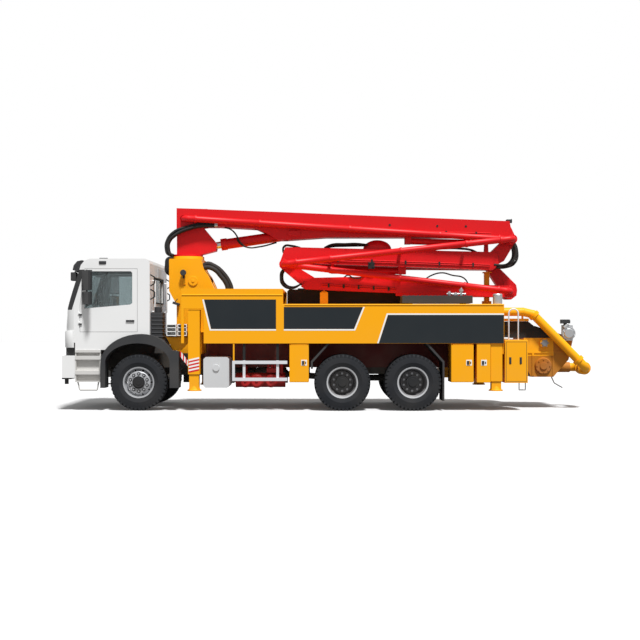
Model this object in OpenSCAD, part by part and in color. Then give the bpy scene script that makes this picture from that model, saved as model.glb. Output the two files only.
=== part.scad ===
// Concrete pump truck: three-axle chassis, day cab, pump with hopper and a four-section folding boom.
// +X points forward, +Y to the truck's left, +Z up, ground at z = 0. All lengths in mm.
// Stations along the truck are given as the distance behind the front axle and turned into X by fx().

/* [Chassis and wheels] */
// Front axle to first rear axle
wheelbase = 3900; // [3800:10:4100]
// First rear axle to second rear axle
bogie = 1350; // [1300:5:1420]
// Outer radius of the tyres
tyre_r = 538; // [510:1:548]
// Width of one tyre
tyre_w = 315; // [290:1:320]
// Radius of the bead seat of the rims
rim_r = 286; // [270:1:292]
// Distance between the centres of the front tyres
front_track = 2030; // [1980:5:2050]
// Distance between the outer faces of the rear twin wheels
rear_width = 2480; // [2440:5:2500]
// Distance between the centres of two twin tyres
twin_pitch = 348; // [335:1:360]
// Width over the two frame rails
frame_w = 800; // [760:5:820]
// Height of a frame rail
rail_h = 280; // [240:5:300]
// Top of the frame rails above ground
rail_top = 1080; // [1060:5:1090]
// Inner radius of the front wheel arch
arch_r = 648; // [630:1:660]

/* [Cab] */
// Width of the cab
cab_w = 2300; // [2200:10:2400]
// Front face of the cab ahead of the front axle
cab_front = 1367; // [1340:1:1400]
// Lower front of the cab ahead of the foot of the windscreen
cab_nose = 45; // [30:1:60]
// Rear wall of the cab behind the front axle
cab_rear = 212; // [190:1:260]
// Top of the cab roof above ground
cab_top = 2911; // [2880:1:3000]
// Underside of the cab floor above ground
cab_floor = 1300; // [1290:1:1330]
// Thickness of walls and doors
cab_wall = 60; // [45:1:70]
// Gap round a door
door_gap = 6; // [5:0.5:9]
// Thickness of the window glass
glass_t = 8; // [6:0.5:12]
// Front face of the bumper ahead of the front axle
bumper_front = 1471; // [1450:1:1500]

/* [Body] */
// Width over the side panels
body_w = 2500; // [2460:10:2550]
// Top of the front body section above ground
body_top = 2330; // [2300:5:2380]
// Top of the rear body section above ground
deck_top = 2040; // [2000:5:2060]
// Lower edge of the side panels above ground
body_low = 1287; // [1270:1:1310]
// Thickness of a side panel
panel_t = 50; // [30:1:70]
// Top of the pedestal above ground
pedestal_top = 3013; // [2990:1:3040]
// Slewing axis behind the front axle
slew_s = 809; // [790:1:830]

/* [Outriggers] */
// Station of the front outrigger behind the front axle
leg_s = 1068; // [1050:1:1090]
// Outer width of a leg tube
leg_w = 220; // [200:2:230]
// Wall of the leg and beam tubes
tube_wall = 18; // [12:1:22]
// Height of the foot plates above ground in the parked state
foot_z = 378; // [340:1:420]
// Height of one outrigger beam housing
beam_h = 210; // [190:5:230]

/* [Boom] */
// Length of the first arm between its hinges
arm1_len = 6568; // [6500:1:6620]
// Length of the second arm
arm2_len = 4569; // [4540:1:4600]
// Length of the third arm
arm3_len = 4555; // [4530:1:4580]
// Length of the fourth arm
arm4_len = 4300; // [4200:10:4400]
// Width of the first arm
arm1_w = 400; // [380:5:420]
// Width of the second arm
arm2_w = 340; // [320:5:355]
// Width of the third arm
arm3_w = 280; // [260:5:300]
// Width of the fourth arm
arm4_w = 220; // [200:5:240]
// Outer radius of the delivery pipe on the boom
pipe_r = 62; // [55:1:66]
// Bend radius of the pipe elbows
elbow_r = 110; // [100:1:120]
// Radius of the lift cylinder
lift_r = 105; // [95:1:112]

/* [Pump and hopper] */
// Height of the water tank on the rear deck
tank_h = 340; // [300:5:380]
// Width of the water tank
tank_w = 560; // [500:10:580]
// Width of the hopper
hopper_w = 1200; // [1140:10:1240]
// Top edge of the hopper above ground
hopper_top = 1385; // [1360:5:1400]
// Radius of the delivery pipe at the rear
feed_r = 83; // [75:1:90]
// Radius of the two pumping cylinders
pump_r = 118; // [105:1:125]

/* [Hidden] */
$fn = 48;
// front axle ahead of the origin, which is the middle of the overall length
front_axle_x = 3673;
axle_z = tyre_r;
rear1_s = wheelbase;
rear2_s = wheelbase + bogie;
rail_y = frame_w / 2;
rail_low = rail_top - rail_h;
cab_y = cab_w / 2;
body_y = body_w / 2;
run_fit = 0.05;
slide_fit = 0.5;
king_y = front_track / 2 - 110;
front_y = front_track / 2;
twin_out_y = rear_width / 2 - tyre_w / 2;
twin_in_y = twin_out_y - twin_pitch;
// front section of the body ends and the rear section begins here
body_front_s = 826;
body_step_s = rear1_s - 1131;
body_rear_s = rear2_s + 1735;
// rear end of the frame, front wall of the hopper and the rear legs
rail_rear_s = rear2_s + 2050;
hopper_s = rear2_s + 2230;
leg_rear_s = rear2_s + 1595;
// tool boxes before and behind the bogie, as [front, rear]
front_box = [rear1_s - 1010, rear1_s - 640];
rear_box = [rear2_s + 725, rear2_s + 1155];
// height of the cross bearers and of the skirt under the cab floor
bearer_z = 1400;
skirt_z = cab_floor - 137;
// outer line of the front arch: station of its top, and its foot and rise above the axle
arch_mid = 60;
arch_foot = 358;
arch_rise = 572;
// door opening and its window, as [station, height] outlines
door_front = -1120;
door_rear = -28;
door_low = 1510;
door_high = 2715;
door_outline = [[door_front, door_low], [door_front, 2010], [-1025, door_high], [door_rear, door_high],
  [door_rear, door_low]];
window_outline = [[-1042, 1955], [-955, 2668], [-150, 2668], [-122, 2640], [-122, 2060], [-160, 2030]];
screen_lean = atan(230 / (cab_top - 219 - cab_floor - 664));
hinge_y = cab_y + 14;
hinge_s = door_front - 4;
// the four hinge axes of the boom in the stowed pose, as [station, height]
hinge_a = [slew_s - 64, pedestal_top + 756];
hinge_b = hinge_a + arm1_len * [cos(3.7), -sin(3.7)];
hinge_c = hinge_b + arm2_len * [-cos(6.23), -sin(6.23)];
hinge_d = hinge_c + arm3_len * [cos(6.74), -sin(6.74)];
lift_eye = hinge_a + [595, -529];
lift_base = hinge_a + [1945, -335];
// lateral places of the boom pipes
pipe_y1 = arm1_w / 2 + 20 + pipe_r;
pipe_y2 = pipe_y1 + 2 * elbow_r + slide_fit;
arm4_y = -450;

RED = [0.84, 0.09, 0.10];
YELLOW = [0.97, 0.68, 0.05];
WHITE = [0.93, 0.93, 0.92];
DARK_RED = [0.38, 0.10, 0.09];
DARK_GREY = [0.20, 0.21, 0.22];
LIGHT_GREY = [0.72, 0.72, 0.70];
BLACK = [0.09, 0.09, 0.10];
SILVER = [0.80, 0.81, 0.82];
STEEL = [0.50, 0.51, 0.52];
GLASS = [0.60, 0.72, 0.74, 0.5];

// X of a station given as its distance behind the front axle
function fx(s) = front_axle_x - s;

// station where the front half of the arch stands at height z
function arch_front(z) = arch_mid - (arch_r + 131) * sqrt(1 - pow((z - axle_z - arch_foot) / arch_rise, 2));

// box between two stations, two sides and two heights
module block(s0, s1, y0, y1, z0, z1) {
  translate([fx(s1), y0, z0]) cube([s1 - s0, y1 - y0, z1 - z0]);
}

// plate with a side-view outline of [station, height] points, from y0 to y1
module side_plate(y0, y1, pts) {
  translate([0, y1, 0]) rotate([90, 0, 0]) linear_extrude(y1 - y0)
    polygon([for (p = pts) [fx(p[0]), p[1]]]);
}

// round bar across the truck at p = [station, height]
module cross_bar(p, r, y0, y1) {
  translate([fx(p[0]), y1, p[1]]) rotate([90, 0, 0]) cylinder(r = r, h = y1 - y0);
}

// round bar between two points given as [station, y, height]
module bar(a, b, r) {
  v = [a[0] - b[0], b[1] - a[1], b[2] - a[2]];
  len = norm(v);
  translate([fx(a[0]), a[1], a[2]]) rotate([0, acos(v[2] / len), atan2(v[1],
    v[0])]) cylinder(r = r, h = len);
}

// the same piece on the left and on the right
module both() {
  children();
  mirror([0, 1, 0]) children();
}

// local frame at a side-view point a with +X towards the side-view point b
module along(a, b) {
  translate([fx(a[0]), 0, a[1]]) rotate([0, atan2(a[1] - b[1], a[0] - b[0]), 0]) children();
}

// quarter bend in the local XY plane round its own centre, starting at the angle start
module bend(start, r) {
  rotate([0, 0, start]) rotate_extrude(angle = 90) translate([elbow_r, 0]) circle(r = r);
}

// delivery pipe beside an arm from hinge a to hinge b, each end bending sideways to the hinge axis
module arm_pipe(a, b, y, to_a, to_b) {
  run = norm(b - a);
  along(a, b) {
    translate([elbow_r, y, 0]) rotate([0, 90, 0]) cylinder(r = pipe_r, h = run - 2 * elbow_r);
    translate([elbow_r, y + to_a * elbow_r, 0]) bend(to_a > 0 ? 180 : 90, pipe_r);
    translate([run - elbow_r, y + to_b * elbow_r, 0]) bend(to_b > 0 ? 270 : 0, pipe_r);
    // clamp collars near both ends
    for (x = [elbow_r + 120, run - elbow_r - 160])
      translate([x, y, 0]) rotate([0, 90, 0]) cylinder(r = pipe_r + 14, h = 40);
  }
}

/* Chassis */

// Two channel rails with cross members and the plates that carry the body
module chassis_frame() color(DARK_RED) {
  both() difference() {
    block(-1215, rail_rear_s, rail_y - 80, rail_y, rail_low, rail_top);
    block(-1216, rail_rear_s + 1, rail_y - 81, rail_y - 10, rail_low + 10, rail_top - 10);
  }
  for (s = [-1200, 1500, rear1_s - 1300, rear1_s - 600, rear1_s + 600, rear2_s + 650, rear2_s + 1850])
    block(s, s + 90, -rail_y + 10, rail_y - 10, rail_low + 60, rail_top - 40);
  both() {
    // subframe plates that carry the bearers of the body
    block(1480, rear2_s + 1430, rail_y, rail_y + 12, rail_top - 40, bearer_z);
    // outer brackets that carry the rear legs
    block(leg_rear_s - 105, leg_rear_s + 105, rail_y, body_y - 30 - leg_w, rail_low + 40, rail_top - 20);
  }
}

// Engine and gearbox as one closed mass between the rails
module engine_block() color(BLACK) {
  block(-700, 350, -300, 300, 560, cab_floor - 40);
  block(350, 1300, -200, 200, 640, rail_top - 20);
  both() block(-500, 100, 300, rail_y - 10, rail_low + 100, rail_low + 160);
}

// Forged beam with kingpin eyes, on two leaf springs
module front_axle() color(BLACK) {
  difference() {
    union() {
      translate([fx(0) - 55, 0, 0]) rotate([90, 0, 90]) linear_extrude(110)
        polygon([[-king_y, axle_z + 45], [-king_y, axle_z - 60], [-king_y + 75, axle_z - 60],
          [-rail_y - 200, axle_z - 170], [rail_y + 200, axle_z - 170], [king_y - 75, axle_z - 60],
          [king_y, axle_z - 60], [king_y, axle_z + 45],
          [rail_y + 200, axle_z - 50], [-rail_y - 200, axle_z - 50]]);
      both() translate([fx(0), king_y, axle_z - 65]) cylinder(r = 62, h = 130);
    }
    both() translate([fx(0), king_y, axle_z - 100]) cylinder(r = 25 + run_fit, h = 200);
  }
  both() {
    block(-60, 60, rail_y - 70, rail_y - 10, axle_z - 50, axle_z + 40);
    side_plate(rail_y - 75, rail_y - 5, [[-800, rail_low], [-720, rail_low], [-420, axle_z + 105],
      [420, axle_z + 105], [720, rail_low], [800, rail_low], [440, axle_z + 40], [-440, axle_z + 40]]);
  }
}

// Two driven axle housings with their springs and the propeller shaft
module rear_axles() color(BLACK) {
  for (s = [rear1_s, rear2_s]) {
    cross_bar([s, axle_z], 85, -twin_in_y + 120, twin_in_y - 120);
    cross_bar([s, axle_z], 70, -twin_out_y - 40, twin_out_y + 40);
    translate([fx(s), 0, axle_z]) sphere(r = 215);
    both() block(s - 70, s + 70, rail_y - 65, rail_y - 15, axle_z + 60, axle_z + 130);
  }
  both() side_plate(rail_y - 75, rail_y - 5, [[rear1_s - 260, axle_z + 130],
    [rear2_s + 260, axle_z + 130], [rear2_s + 200, axle_z + 200], [rear1_s + bogie / 2 + 150, rail_low],
    [rear1_s + bogie / 2 - 150, rail_low], [rear1_s - 200, axle_z + 200]]);
  bar([rear1_s, 0, axle_z + 30], [1305.5, 0, 770], 62);
  bar([rear1_s, 0, axle_z + 40], [rear2_s, 0, axle_z + 40], 62);
}

// Steering knuckle: fork round the axle eye, kingpin and wheel spindle
module knuckle() {
  translate([fx(0), king_y, axle_z]) {
    for (z = [-112, 66]) translate([-60, -55, z]) cube([120, 130, 46]);
    translate([-60, 63, -112]) cube([120, 12, 224]);
    translate([0, 0, -112]) cylinder(r = 25, h = 224);
    translate([0, 70, 0]) rotate([-90, 0, 0]) cylinder(r = 70, h = 15);
    translate([0, 80, 0]) rotate([-90, 0, 0]) cylinder(r = 45, h = 110);
  }
}
module knuckle_left() color(BLACK) { knuckle(); }
module knuckle_right() color(BLACK) { mirror([0, 1, 0]) knuckle(); }

/* Wheels, drawn round the Y axis with the outer side at +Y */

// Tyre section turned round the axle, with a rounded shoulder and four road grooves
module tyre() {
  w = tyre_w / 2;
  rotate([-90, 0, 0]) rotate_extrude($fn = 44)
    polygon([[rim_r, -w + 49], [rim_r + 15, -w + 35.5], [rim_r + 16, -w + 22], [rim_r + 95, -w],
      [rim_r + 160, -w + 6], [tyre_r - 38, -w + 14], [tyre_r - 8, -w + 32], [tyre_r, -w + 60],
        [tyre_r, -48], [tyre_r - 14, -44], [tyre_r - 14, -36],
      [tyre_r, -32], [tyre_r, 32], [tyre_r - 14, 36], [tyre_r - 14, 44], [tyre_r, 48], [tyre_r, w - 60],
      [tyre_r - 8, w - 32], [tyre_r - 38, w - 14], [rim_r + 160, w - 6], [rim_r + 95, w],
        [rim_r + 16, w - 22],
      [rim_r + 15, w - 35.5], [rim_r, w - 49]]);
}

// Rim barrel with its two flanges
module rim_barrel() {
  w = tyre_w / 2 - 46;
  rotate([-90, 0, 0]) rotate_extrude()
    polygon([[rim_r - 34, -40], [rim_r - 34, 40], [rim_r - 14, 60], [rim_r - 14, w + 18],
      [rim_r + 14, w + 24],
      [rim_r + 14, w + 12], [rim_r - 0.3, w - 2], [rim_r - 0.3, -w + 2], [rim_r + 14, -w - 12],
      [rim_r + 14, -w - 24], [rim_r - 14, -w - 18], [rim_r - 14, -60]]);
}

// Dished disc with ten hand holes, flat outer face at y, running back to the well of the barrel
module disc(y) {
  well = rim_r - 30;
  difference() {
    rotate([-90, 0, 0]) rotate_extrude()
      polygon([[100, y], [198, y], [218, y - 10], [well, y - 70], [well, y - 94], [206, y - 28],
        [194, y - 18],
        [100, y - 18]]);
    for (k = [0 : 9]) rotate([0, 36 * k + 18, 0]) translate([0, y - 110, 236]) rotate([-90, 0, 0])
      cylinder(r = 17, h = 120, $fn = 20);
  }
}

// Front wheel rim: disc pressed to the outer side, ten nuts, hub with its cap
module front_rim() {
  translate([fx(0), front_y, axle_z]) {
    rim_barrel();
    difference() {
      union() {
        disc(tyre_w / 2 - 50);
        rotate([-90, 0, 0]) translate([0, 0, -22]) cylinder(r = 165, h = tyre_w / 2 - 40);
        rotate([-90, 0, 0]) cylinder(r = 120, h = tyre_w / 2 - 20);
        rotate([-90, 0, 0]) cylinder(r = 92, h = tyre_w / 2 - 8);
        for (k = [0 : 9]) rotate([0, 36 * k, 0]) translate([0, tyre_w / 2 - 52, 167])
          rotate([-90, 0, 0]) cylinder(r = 17, h = 30, $fn = 6);
      }
      rotate([-90, 0, 0]) translate([0, 0, -40]) cylinder(r = 45 + run_fit, h = 125);
    }
  }
}
module front_rim_left() color(STEEL) { front_rim(); }
module front_rim_right() color(STEEL) { mirror([0, 1, 0]) front_rim(); }
module front_tyre_left() color(BLACK) { translate([fx(0), front_y, axle_z]) tyre(); }
module front_tyre_right() color(BLACK) { translate([fx(0), -front_y, axle_z]) tyre(); }

// Twin rims back to back on one hub, with the deep dish towards the outside
module rear_rim(s) {
  translate([fx(s), 0, axle_z]) {
    for (y = [twin_in_y, twin_out_y]) translate([0, y, 0]) rim_barrel();
    difference() {
      union() {
        translate([0, (twin_in_y + twin_out_y) / 2, 0]) {
          rotate([-90, 0, 0]) translate([0, 0, -28]) cylinder(r = rim_r - 61, h = 56);
          both() rotate([-90, 0, 0]) translate([0, 0, 4]) difference() {
            cylinder(r1 = rim_r - 60, r2 = rim_r - 12, h = twin_pitch / 2 - 60);
            translate([0, 0, -1]) cylinder(r1 = rim_r - 86, r2 = rim_r - 38, h = twin_pitch / 2 - 58);
          }
          for (k = [0 : 9]) rotate([0, 36 * k, 0]) translate([0, 20, 167])
            rotate([-90, 0, 0]) cylinder(r = 17, h = 62, $fn = 6);
        }
        translate([0, twin_in_y - 60, 0]) rotate([-90, 0, 0]) cylinder(r = 190, h = twin_pitch / 2 + 50);
        translate([0, twin_in_y, 0]) rotate([-90, 0, 0]) cylinder(r = 120, h = twin_pitch + 90);
      }
      translate([0, twin_in_y - 120, 0]) rotate([-90, 0, 0]) cylinder(r = 70 + run_fit,
        h = twin_pitch + 160.5);
    }
  }
}
module rear_tyres(s) {
  for (y = [twin_in_y, twin_out_y]) translate([fx(s), y, axle_z]) tyre();
}
module rear1_rim_left() color(STEEL) { rear_rim(rear1_s); }
module rear1_rim_right() color(STEEL) { mirror([0, 1, 0]) rear_rim(rear1_s); }
module rear1_tyre_left() color(BLACK) { rear_tyres(rear1_s); }
module rear1_tyre_right() color(BLACK) { mirror([0, 1, 0]) rear_tyres(rear1_s); }
module rear2_rim_left() color(STEEL) { rear_rim(rear2_s); }
module rear2_rim_right() color(STEEL) { mirror([0, 1, 0]) rear_rim(rear2_s); }
module rear2_tyre_left() color(BLACK) { rear_tyres(rear2_s); }
module rear2_tyre_right() color(BLACK) { mirror([0, 1, 0]) rear_tyres(rear2_s); }

// Fuel tanks with filler caps, and the air tanks behind them
module tanks() color(SILVER) {
  both() {
    side_plate(520, body_y - 55, [[1245, 480], [1285, 440], [1695, 440], [1735, 480], [1735, 985],
      [1695, 1025], [1285, 1025], [1245, 985]]);
    cross_bar([1490, 820], 62, body_y - 55, body_y - 35);
    for (s = [1330, 1600]) block(s, s + 60, rail_y, 520, rail_low + 60, rail_top - 60);
    bar([1840, 800, 570], [rear1_s - 1100, 800, 570], 140);
    for (s = [1990, rear1_s - 1310]) block(s, s + 60, rail_y, 760, 690, rail_low + 40);
  }
}

// Aluminium side guards on posts under the body, and the ladder loops at the rear
module side_rails() color(SILVER) {
  ladder_s = rear2_s + 1920;
  both() {
    for (z = [572, 896]) block(1800, rear1_s - 1050, body_y - 30, body_y - 5, z, z + 62);
    block(1800, 1850, body_y - 30, body_y - 5, 634, 896);
    for (s = [2000, rear1_s - 1260]) block(s, s + 50, body_y - 55, body_y - 30, 572, body_low);
    for (s = [ladder_s - 90, ladder_s + 90]) bar([s, body_y - 50, 1353], [s, body_y - 50, 1856], 14);
    translate([fx(ladder_s), body_y - 50, 1856]) rotate([90, 0, 0]) rotate_extrude(angle = 180)
      translate([90, 0]) circle(r = 14);
  }
}

/* Cab */

// Side-view outline of the cab, drawn in by t all round
function cab_outline(t) = [[-cab_front - cab_nose + t, cab_floor + t],
  [-cab_front - cab_nose + t, cab_floor + 230], [-cab_front + t, cab_floor + 664 - t / 6],
    [-cab_front + 230 + t, cab_top - 219 - t / 6], [-cab_front + 262 + t, cab_top - 120 - t / 2],
  [-cab_front + 330 + t, cab_top - 40 - t], [-cab_front + 430 + t, cab_top - t],
    [cab_rear - 90 - t, cab_top - t],
  [cab_rear - 25 - t, cab_top - 30 - t], [cab_rear - t, cab_top - 90 - t], [cab_rear - t, cab_floor + t]];

// Plan view of the cab with its rounded front corners
module cab_plan(t, z0, z1) {
  r = 170 - t;
  y = cab_y - t;
  front = cab_front + cab_nose - t;
  translate([0, 0, z0]) linear_extrude(z1 - z0) union() {
    translate([fx(cab_rear - t), -y]) square([cab_rear + front - t - r, 2 * y]);
    translate([fx(r - front) - 1, -y + r]) square([r + 1, 2 * y - 2 * r]);
    for (k = [-1, 1]) translate([fx(r - front), k * (y - r)]) circle(r = r);
  }
}

module cab_solid(t) {
  intersection() {
    side_plate(-cab_y - 1, cab_y + 1, cab_outline(t));
    cab_plan(t, cab_floor, cab_top + 1);
  }
}

// windscreen frame of reference: origin at its lower edge, +Z up the glass
module on_screen() {
  translate([fx(-cab_front), 0, cab_floor + 664]) rotate([0, -screen_lean, 0]) children();
}

// Hollow cab with door openings, windscreen and rear window cut out
module cab_shell() color(WHITE) {
  g = door_gap;
  difference() {
    cab_solid(0);
    cab_solid(cab_wall);
    both() side_plate(cab_y - cab_wall - 20, cab_y + 20, [[door_front - g, door_low - g],
      [door_front - g, 2010],
      [-1025 - g, door_high + g], [door_rear + g, door_high + g], [door_rear + g, door_low - g]]);
    on_screen() translate([-cab_wall - 30, -cab_y + 190, 30]) cube([cab_wall + 60, cab_w - 380, 690]);
    block(cab_rear - cab_wall - 1, cab_rear + 1, -620, 620, 2080, 2560);
  }
  // skirt between the entry steps and the door sill
  both() side_plate(cab_y - cab_wall, cab_y, [[-1215, skirt_z], [arch_front(skirt_z) - 16, skirt_z],
    [arch_front(cab_floor) - 16, cab_floor], [-1215, cab_floor]]);
  // door hinges on the pillar
  both() for (z = [1640, 1820]) {
    translate([fx(hinge_s), hinge_y, z + 30.5]) cylinder(r = 11, h = 29.5);
    block(hinge_s - 30, hinge_s - 8, cab_y - 4, hinge_y + 6, z + 30.5, z + 60);
    block(hinge_s - 12, hinge_s, hinge_y - 5, hinge_y + 5, z + 30.5, z + 60);
  }
  // grab rail and vents on the rear wall
  for (y = [-800, 800]) bar([cab_rear + 50, y, 1900], [cab_rear + 50, y, 2500], 14);
  for (y = [-800, 800], z = [1900, 2500]) bar([cab_rear - 5, y, z], [cab_rear + 50, y, z], 14);
}

// Windscreen and rear window
module cab_glass() color(GLASS) {
  on_screen() translate([-cab_wall / 2, -cab_y + 190, 30]) cube([glass_t, cab_w - 380, 690]);
  block(cab_rear - cab_wall / 2, cab_rear - cab_wall / 2 + glass_t, -620, 620, 2080, 2560);
}

// Dashboard, steering wheel and two chairs
module cab_interior() color(DARK_GREY) {
  z0 = cab_floor + cab_wall;
  block(-cab_front + cab_wall + 60, -900, -cab_y + 210, cab_y - 210, z0, 1850);
  // steering column and wheel
  translate([fx(-900), 560, 1800]) rotate([0, -60, 0]) translate([0, 0, -40]) cylinder(r = 35, h = 200);
  translate([fx(-900), 560, 1800]) rotate([0, -60, 0]) translate([0, 0, 150]) difference() {
    cylinder(r = 225, h = 36);
    translate([0, 0, -1]) difference() {
      cylinder(r = 195, h = 38);
      translate([-225, -25, 0]) cube([450, 50, 38]);
    }
  }
  both() {
    block(-420, 60, 330, 830, z0, z0 + 330);
    side_plate(330, 830, [[-60, z0 + 330], [60, z0 + 330], [cab_rear - cab_wall - 40, z0 + 960],
      [0, z0 + 960]]);
    side_plate(450, 710, [[10, z0 + 960], [cab_rear - cab_wall - 45, z0 + 960],
      [cab_rear - cab_wall - 40, z0 + 1180],
      [30, z0 + 1180]]);
  }
}

// Door with its window cut out, hinge barrels, handle and the mirror arm with two mirrors
module door() {
  difference() {
    side_plate(cab_y - cab_wall, cab_y, door_outline);
    side_plate(cab_y - cab_wall - 1, cab_y + 1, window_outline);
  }
  for (z = [1640, 1820]) {
    translate([fx(hinge_s), hinge_y, z]) cylinder(r = 11, h = 30);
    block(hinge_s, hinge_s + 40, cab_y - 2, hinge_y + 6, z, z + 30);
  }
  // handle
  block(-240, -80, cab_y - 5, cab_y + 18, 1700, 1735);
  // mirror bracket and two housings that face the driver
  for (z = [2060, 2600]) bar([-1010, cab_y - 20, z], [-960, cab_y + 160, z], 16);
  bar([-960, cab_y + 160, 2000], [-960, cab_y + 160, 2690], 16);
  for (z = [[2300, 2680], [2030, 2270]]) translate([0, 0, z[0]]) linear_extrude(z[1] - z[0])
    polygon([for (p = [[-1075, 60], [-1010, 40], [-840, 230], [-860, 290],
      [-905, 290]]) [fx(p[0]), cab_y + p[1]]]);
}
module door_left() color(WHITE) { door(); }
module door_right() color(WHITE) { mirror([0, 1, 0]) door(); }

// Apron wrapped round the lower front of the cab, the recessed grille under it and the bumper below
module bumper() color(WHITE) {
  back = -cab_front + 127;
  low = cab_floor - 93;
  difference() {
    union() {
      block(-bumper_front, -1215, -cab_y + 12, cab_y - 12, 625, 1050);
      block(-bumper_front + 70, -1215, -cab_y + 60, cab_y - 60, 1050, low);
    }
    block(-bumper_front + 120, -1200, -cab_y + 130, cab_y - 130, 600, 1020);
    both() block(-bumper_front - 1, -bumper_front + 60, 700, 1060, 760, 920);
    // grille slots
    for (z = [1075, 1120, 1165]) block(-bumper_front + 69, -bumper_front + 110, -900, 900, z, z + 25);
  }
  difference() {
    intersection() {
      side_plate(-cab_y - 10, cab_y + 10, [[-cab_front - cab_nose - 21, low],
        [-cab_front - cab_nose - 21, cab_floor + 200],
        [-cab_front - cab_nose, cab_floor + 230], [back, cab_floor + 230], [back, low]]);
      translate([21, 0, 0]) cab_plan(-8, low, cab_floor + 231);
    }
    cab_plan(0, cab_floor, cab_floor + 232);
  }
  // brackets to the rails
  both() block(-bumper_front + 120, -1215, rail_y - 80, rail_y, rail_low + 20, 1020);
}

// Head lamps set into the bumper
module headlamps() color(GLASS) {
  both() block(-bumper_front + 12, -bumper_front + 60, 700, 1060, 760, 920);
}

// Entry steps below the door, with the hanging lower step
module cab_steps() color(LIGHT_GREY) {
  both() {
    // back of the step well between two cheeks, with the two treads and the lower lip
    block(-1215, -725, 900, cab_y - 60, 545, skirt_z);
    for (s = [-1215, -745]) block(s, s + 20, 900, cab_y, 545, skirt_z);
    for (z = [[545, 570], [692, 765], [977, 1050], [skirt_z - 50, skirt_z]])
      block(-1215, -725, 900, cab_y + 10, z[0], z[1]);
    for (s = [-1170, -770]) bar([s, cab_y - 30, 550], [s < -1000 ? -1130 : -800, cab_y - 30, 395], 14);
    bar([-1130, cab_y - 30, 395], [-800, cab_y - 30, 395], 16);
  }
}

// Mudguards over the front wheels and over the rear bogie
module fenders() color(DARK_GREY) {
  both() {
    // moulded arch round the steered wheel, cut back where the cab stands
    translate([0, 0, axle_z]) difference() {
      side_plate(880, body_y - 20, concat([[-arch_r - 71, -100]],
        [for (a = [180 : -9 : 90]) [arch_mid + (arch_r + 131) * cos(a), arch_foot + arch_rise * sin(a)]],
        [for (a = [81 : -9 : 27]) [arch_mid + (arch_r + 2) * cos(a), arch_foot + arch_rise * sin(a)]],
        [[arch_r + 129, 586], [arch_r + 129, -100]]));
      side_plate(879, body_y, concat([[20 - arch_r, -101]],
        [for (a = [180 : -9 : 0]) [-12 + (arch_r - 32) * cos(a), 380 + 372 * sin(a)]],
          [[arch_r - 44, -101]]));
      block(-cab_front, cab_rear + 6, 0, cab_y, cab_floor - axle_z, cab_top);
    }
    // slanted guards before and behind the twin tyres, the rear one with its flap
    rear_guard(rear1_s, -1, 800);
    rear_guard(rear2_s, 1, 190);
  }
}

// Guard beside a rear axle at station s, towards the front or the rear, with its flap down to low
module rear_guard(s, way, low) {
  r = tyre_r;
  side_plate(620, body_y - 30, [for (p = [[r + 62, low], [r + 27, low], [r + 27, 925], [r - 300, body_low],
    [r - 250, body_low], [r + 62, 945]]) [s + way * p[0], p[1]]]);
}

// Sun visor over the windscreen, roof lamps and aerial
module roof_items() color(DARK_GREY) {
  o = cab_outline(0);
  side_plate(-cab_y + 60, cab_y - 60, [o[5], o[4], o[3], o[3] + [-78, -37], o[3] + [-91, -2],
    o[4] + [-65, 9],
    o[5] + [-48, 9]]);
  both() block(-790, -640, 880, 960, cab_top, cab_top + 26);
  bar([-500, 300, cab_top + 14], [-100, 300, cab_top + 14], 7);
  block(-540, -480, 270, 330, cab_top, cab_top + 28);
}

/* Body */

// Pedestal tower over the crosswise outrigger housings, with rear gussets
module pedestal() color(YELLOW) {
  z0 = rail_top;
  z1 = z0 + 2 * beam_h;
  difference() {
    union() {
      difference() {
        side_plate(-430, 430, [[slew_s - 315, pedestal_top - 60], [slew_s + 315, pedestal_top - 60],
          [slew_s + 320, pedestal_top - 130], [slew_s + 580, body_top], [slew_s + 580, z1],
            [slew_s - 175, z1],
          [slew_s - 175, body_top - 290], [slew_s - 325, pedestal_top - 700],
            [slew_s - 325, pedestal_top - 90]]);
        cross_bar([slew_s + 750, pedestal_top - 90], 430, -500, 500);
      }
      translate([fx(slew_s), 0, pedestal_top - 61]) cylinder(r = 325, h = 61);
    }
    translate([fx(slew_s), 0, pedestal_top - 160]) cylinder(r = 150 + run_fit, h = 200);
  }
  // two outrigger housings, one above the other, open at one end each
  for (k = [0, 1]) difference() {
    block(leg_s - leg_w / 2 - tube_wall, leg_s + leg_w / 2 + tube_wall, -body_y + 40 + leg_w,
      body_y - 40 - leg_w,
      z0 + k * beam_h, z0 + (k + 1) * beam_h);
    block(leg_s - leg_w / 2, leg_s + leg_w / 2, -body_y, body_y, z0 + k * beam_h + tube_wall,
      z0 + (k + 1) * beam_h - tube_wall);
  }
  // feet on the rails
  both() block(slew_s - 175, leg_s - leg_w / 2 - tube_wall, rail_y - 80, rail_y, z0, z1);
}

// Side panels of the body, with the recess for the front leg
module side_bodies() color(YELLOW) {
  both() {
    difference() {
      union() {
        block(body_front_s, body_step_s, body_y - panel_t, body_y, body_low, body_top);
        block(body_step_s, body_rear_s, body_y - panel_t, body_y, body_low, deck_top);
      }
      block(leg_s - leg_w / 2 - 78, leg_s + leg_w / 2 + 78, body_y - panel_t - 1, body_y + 1,
        body_low - 1, 1953);
    }
    // fold along the top of the front section
    block(body_front_s, body_step_s, body_y - 260, body_y - panel_t, body_top - 40, body_top);
    // tall post between the sections
    block(body_step_s - 110, body_step_s, body_y - 140, body_y - panel_t, body_low, body_top - 40);
  }
  // rear bulkhead with the holes of the two pumping cylinders
  y = body_y - panel_t - slide_fit;
  difference() {
    block(body_rear_s - 25, body_rear_s, -y, y, rail_top, deck_top - 40 - slide_fit);
    both() translate([fx(body_rear_s + 10), 150, rail_top + 40 + pump_r]) rotate([0, 90, 0])
      cylinder(r = pump_r + 0.3, h = 60);
  }
}

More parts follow.
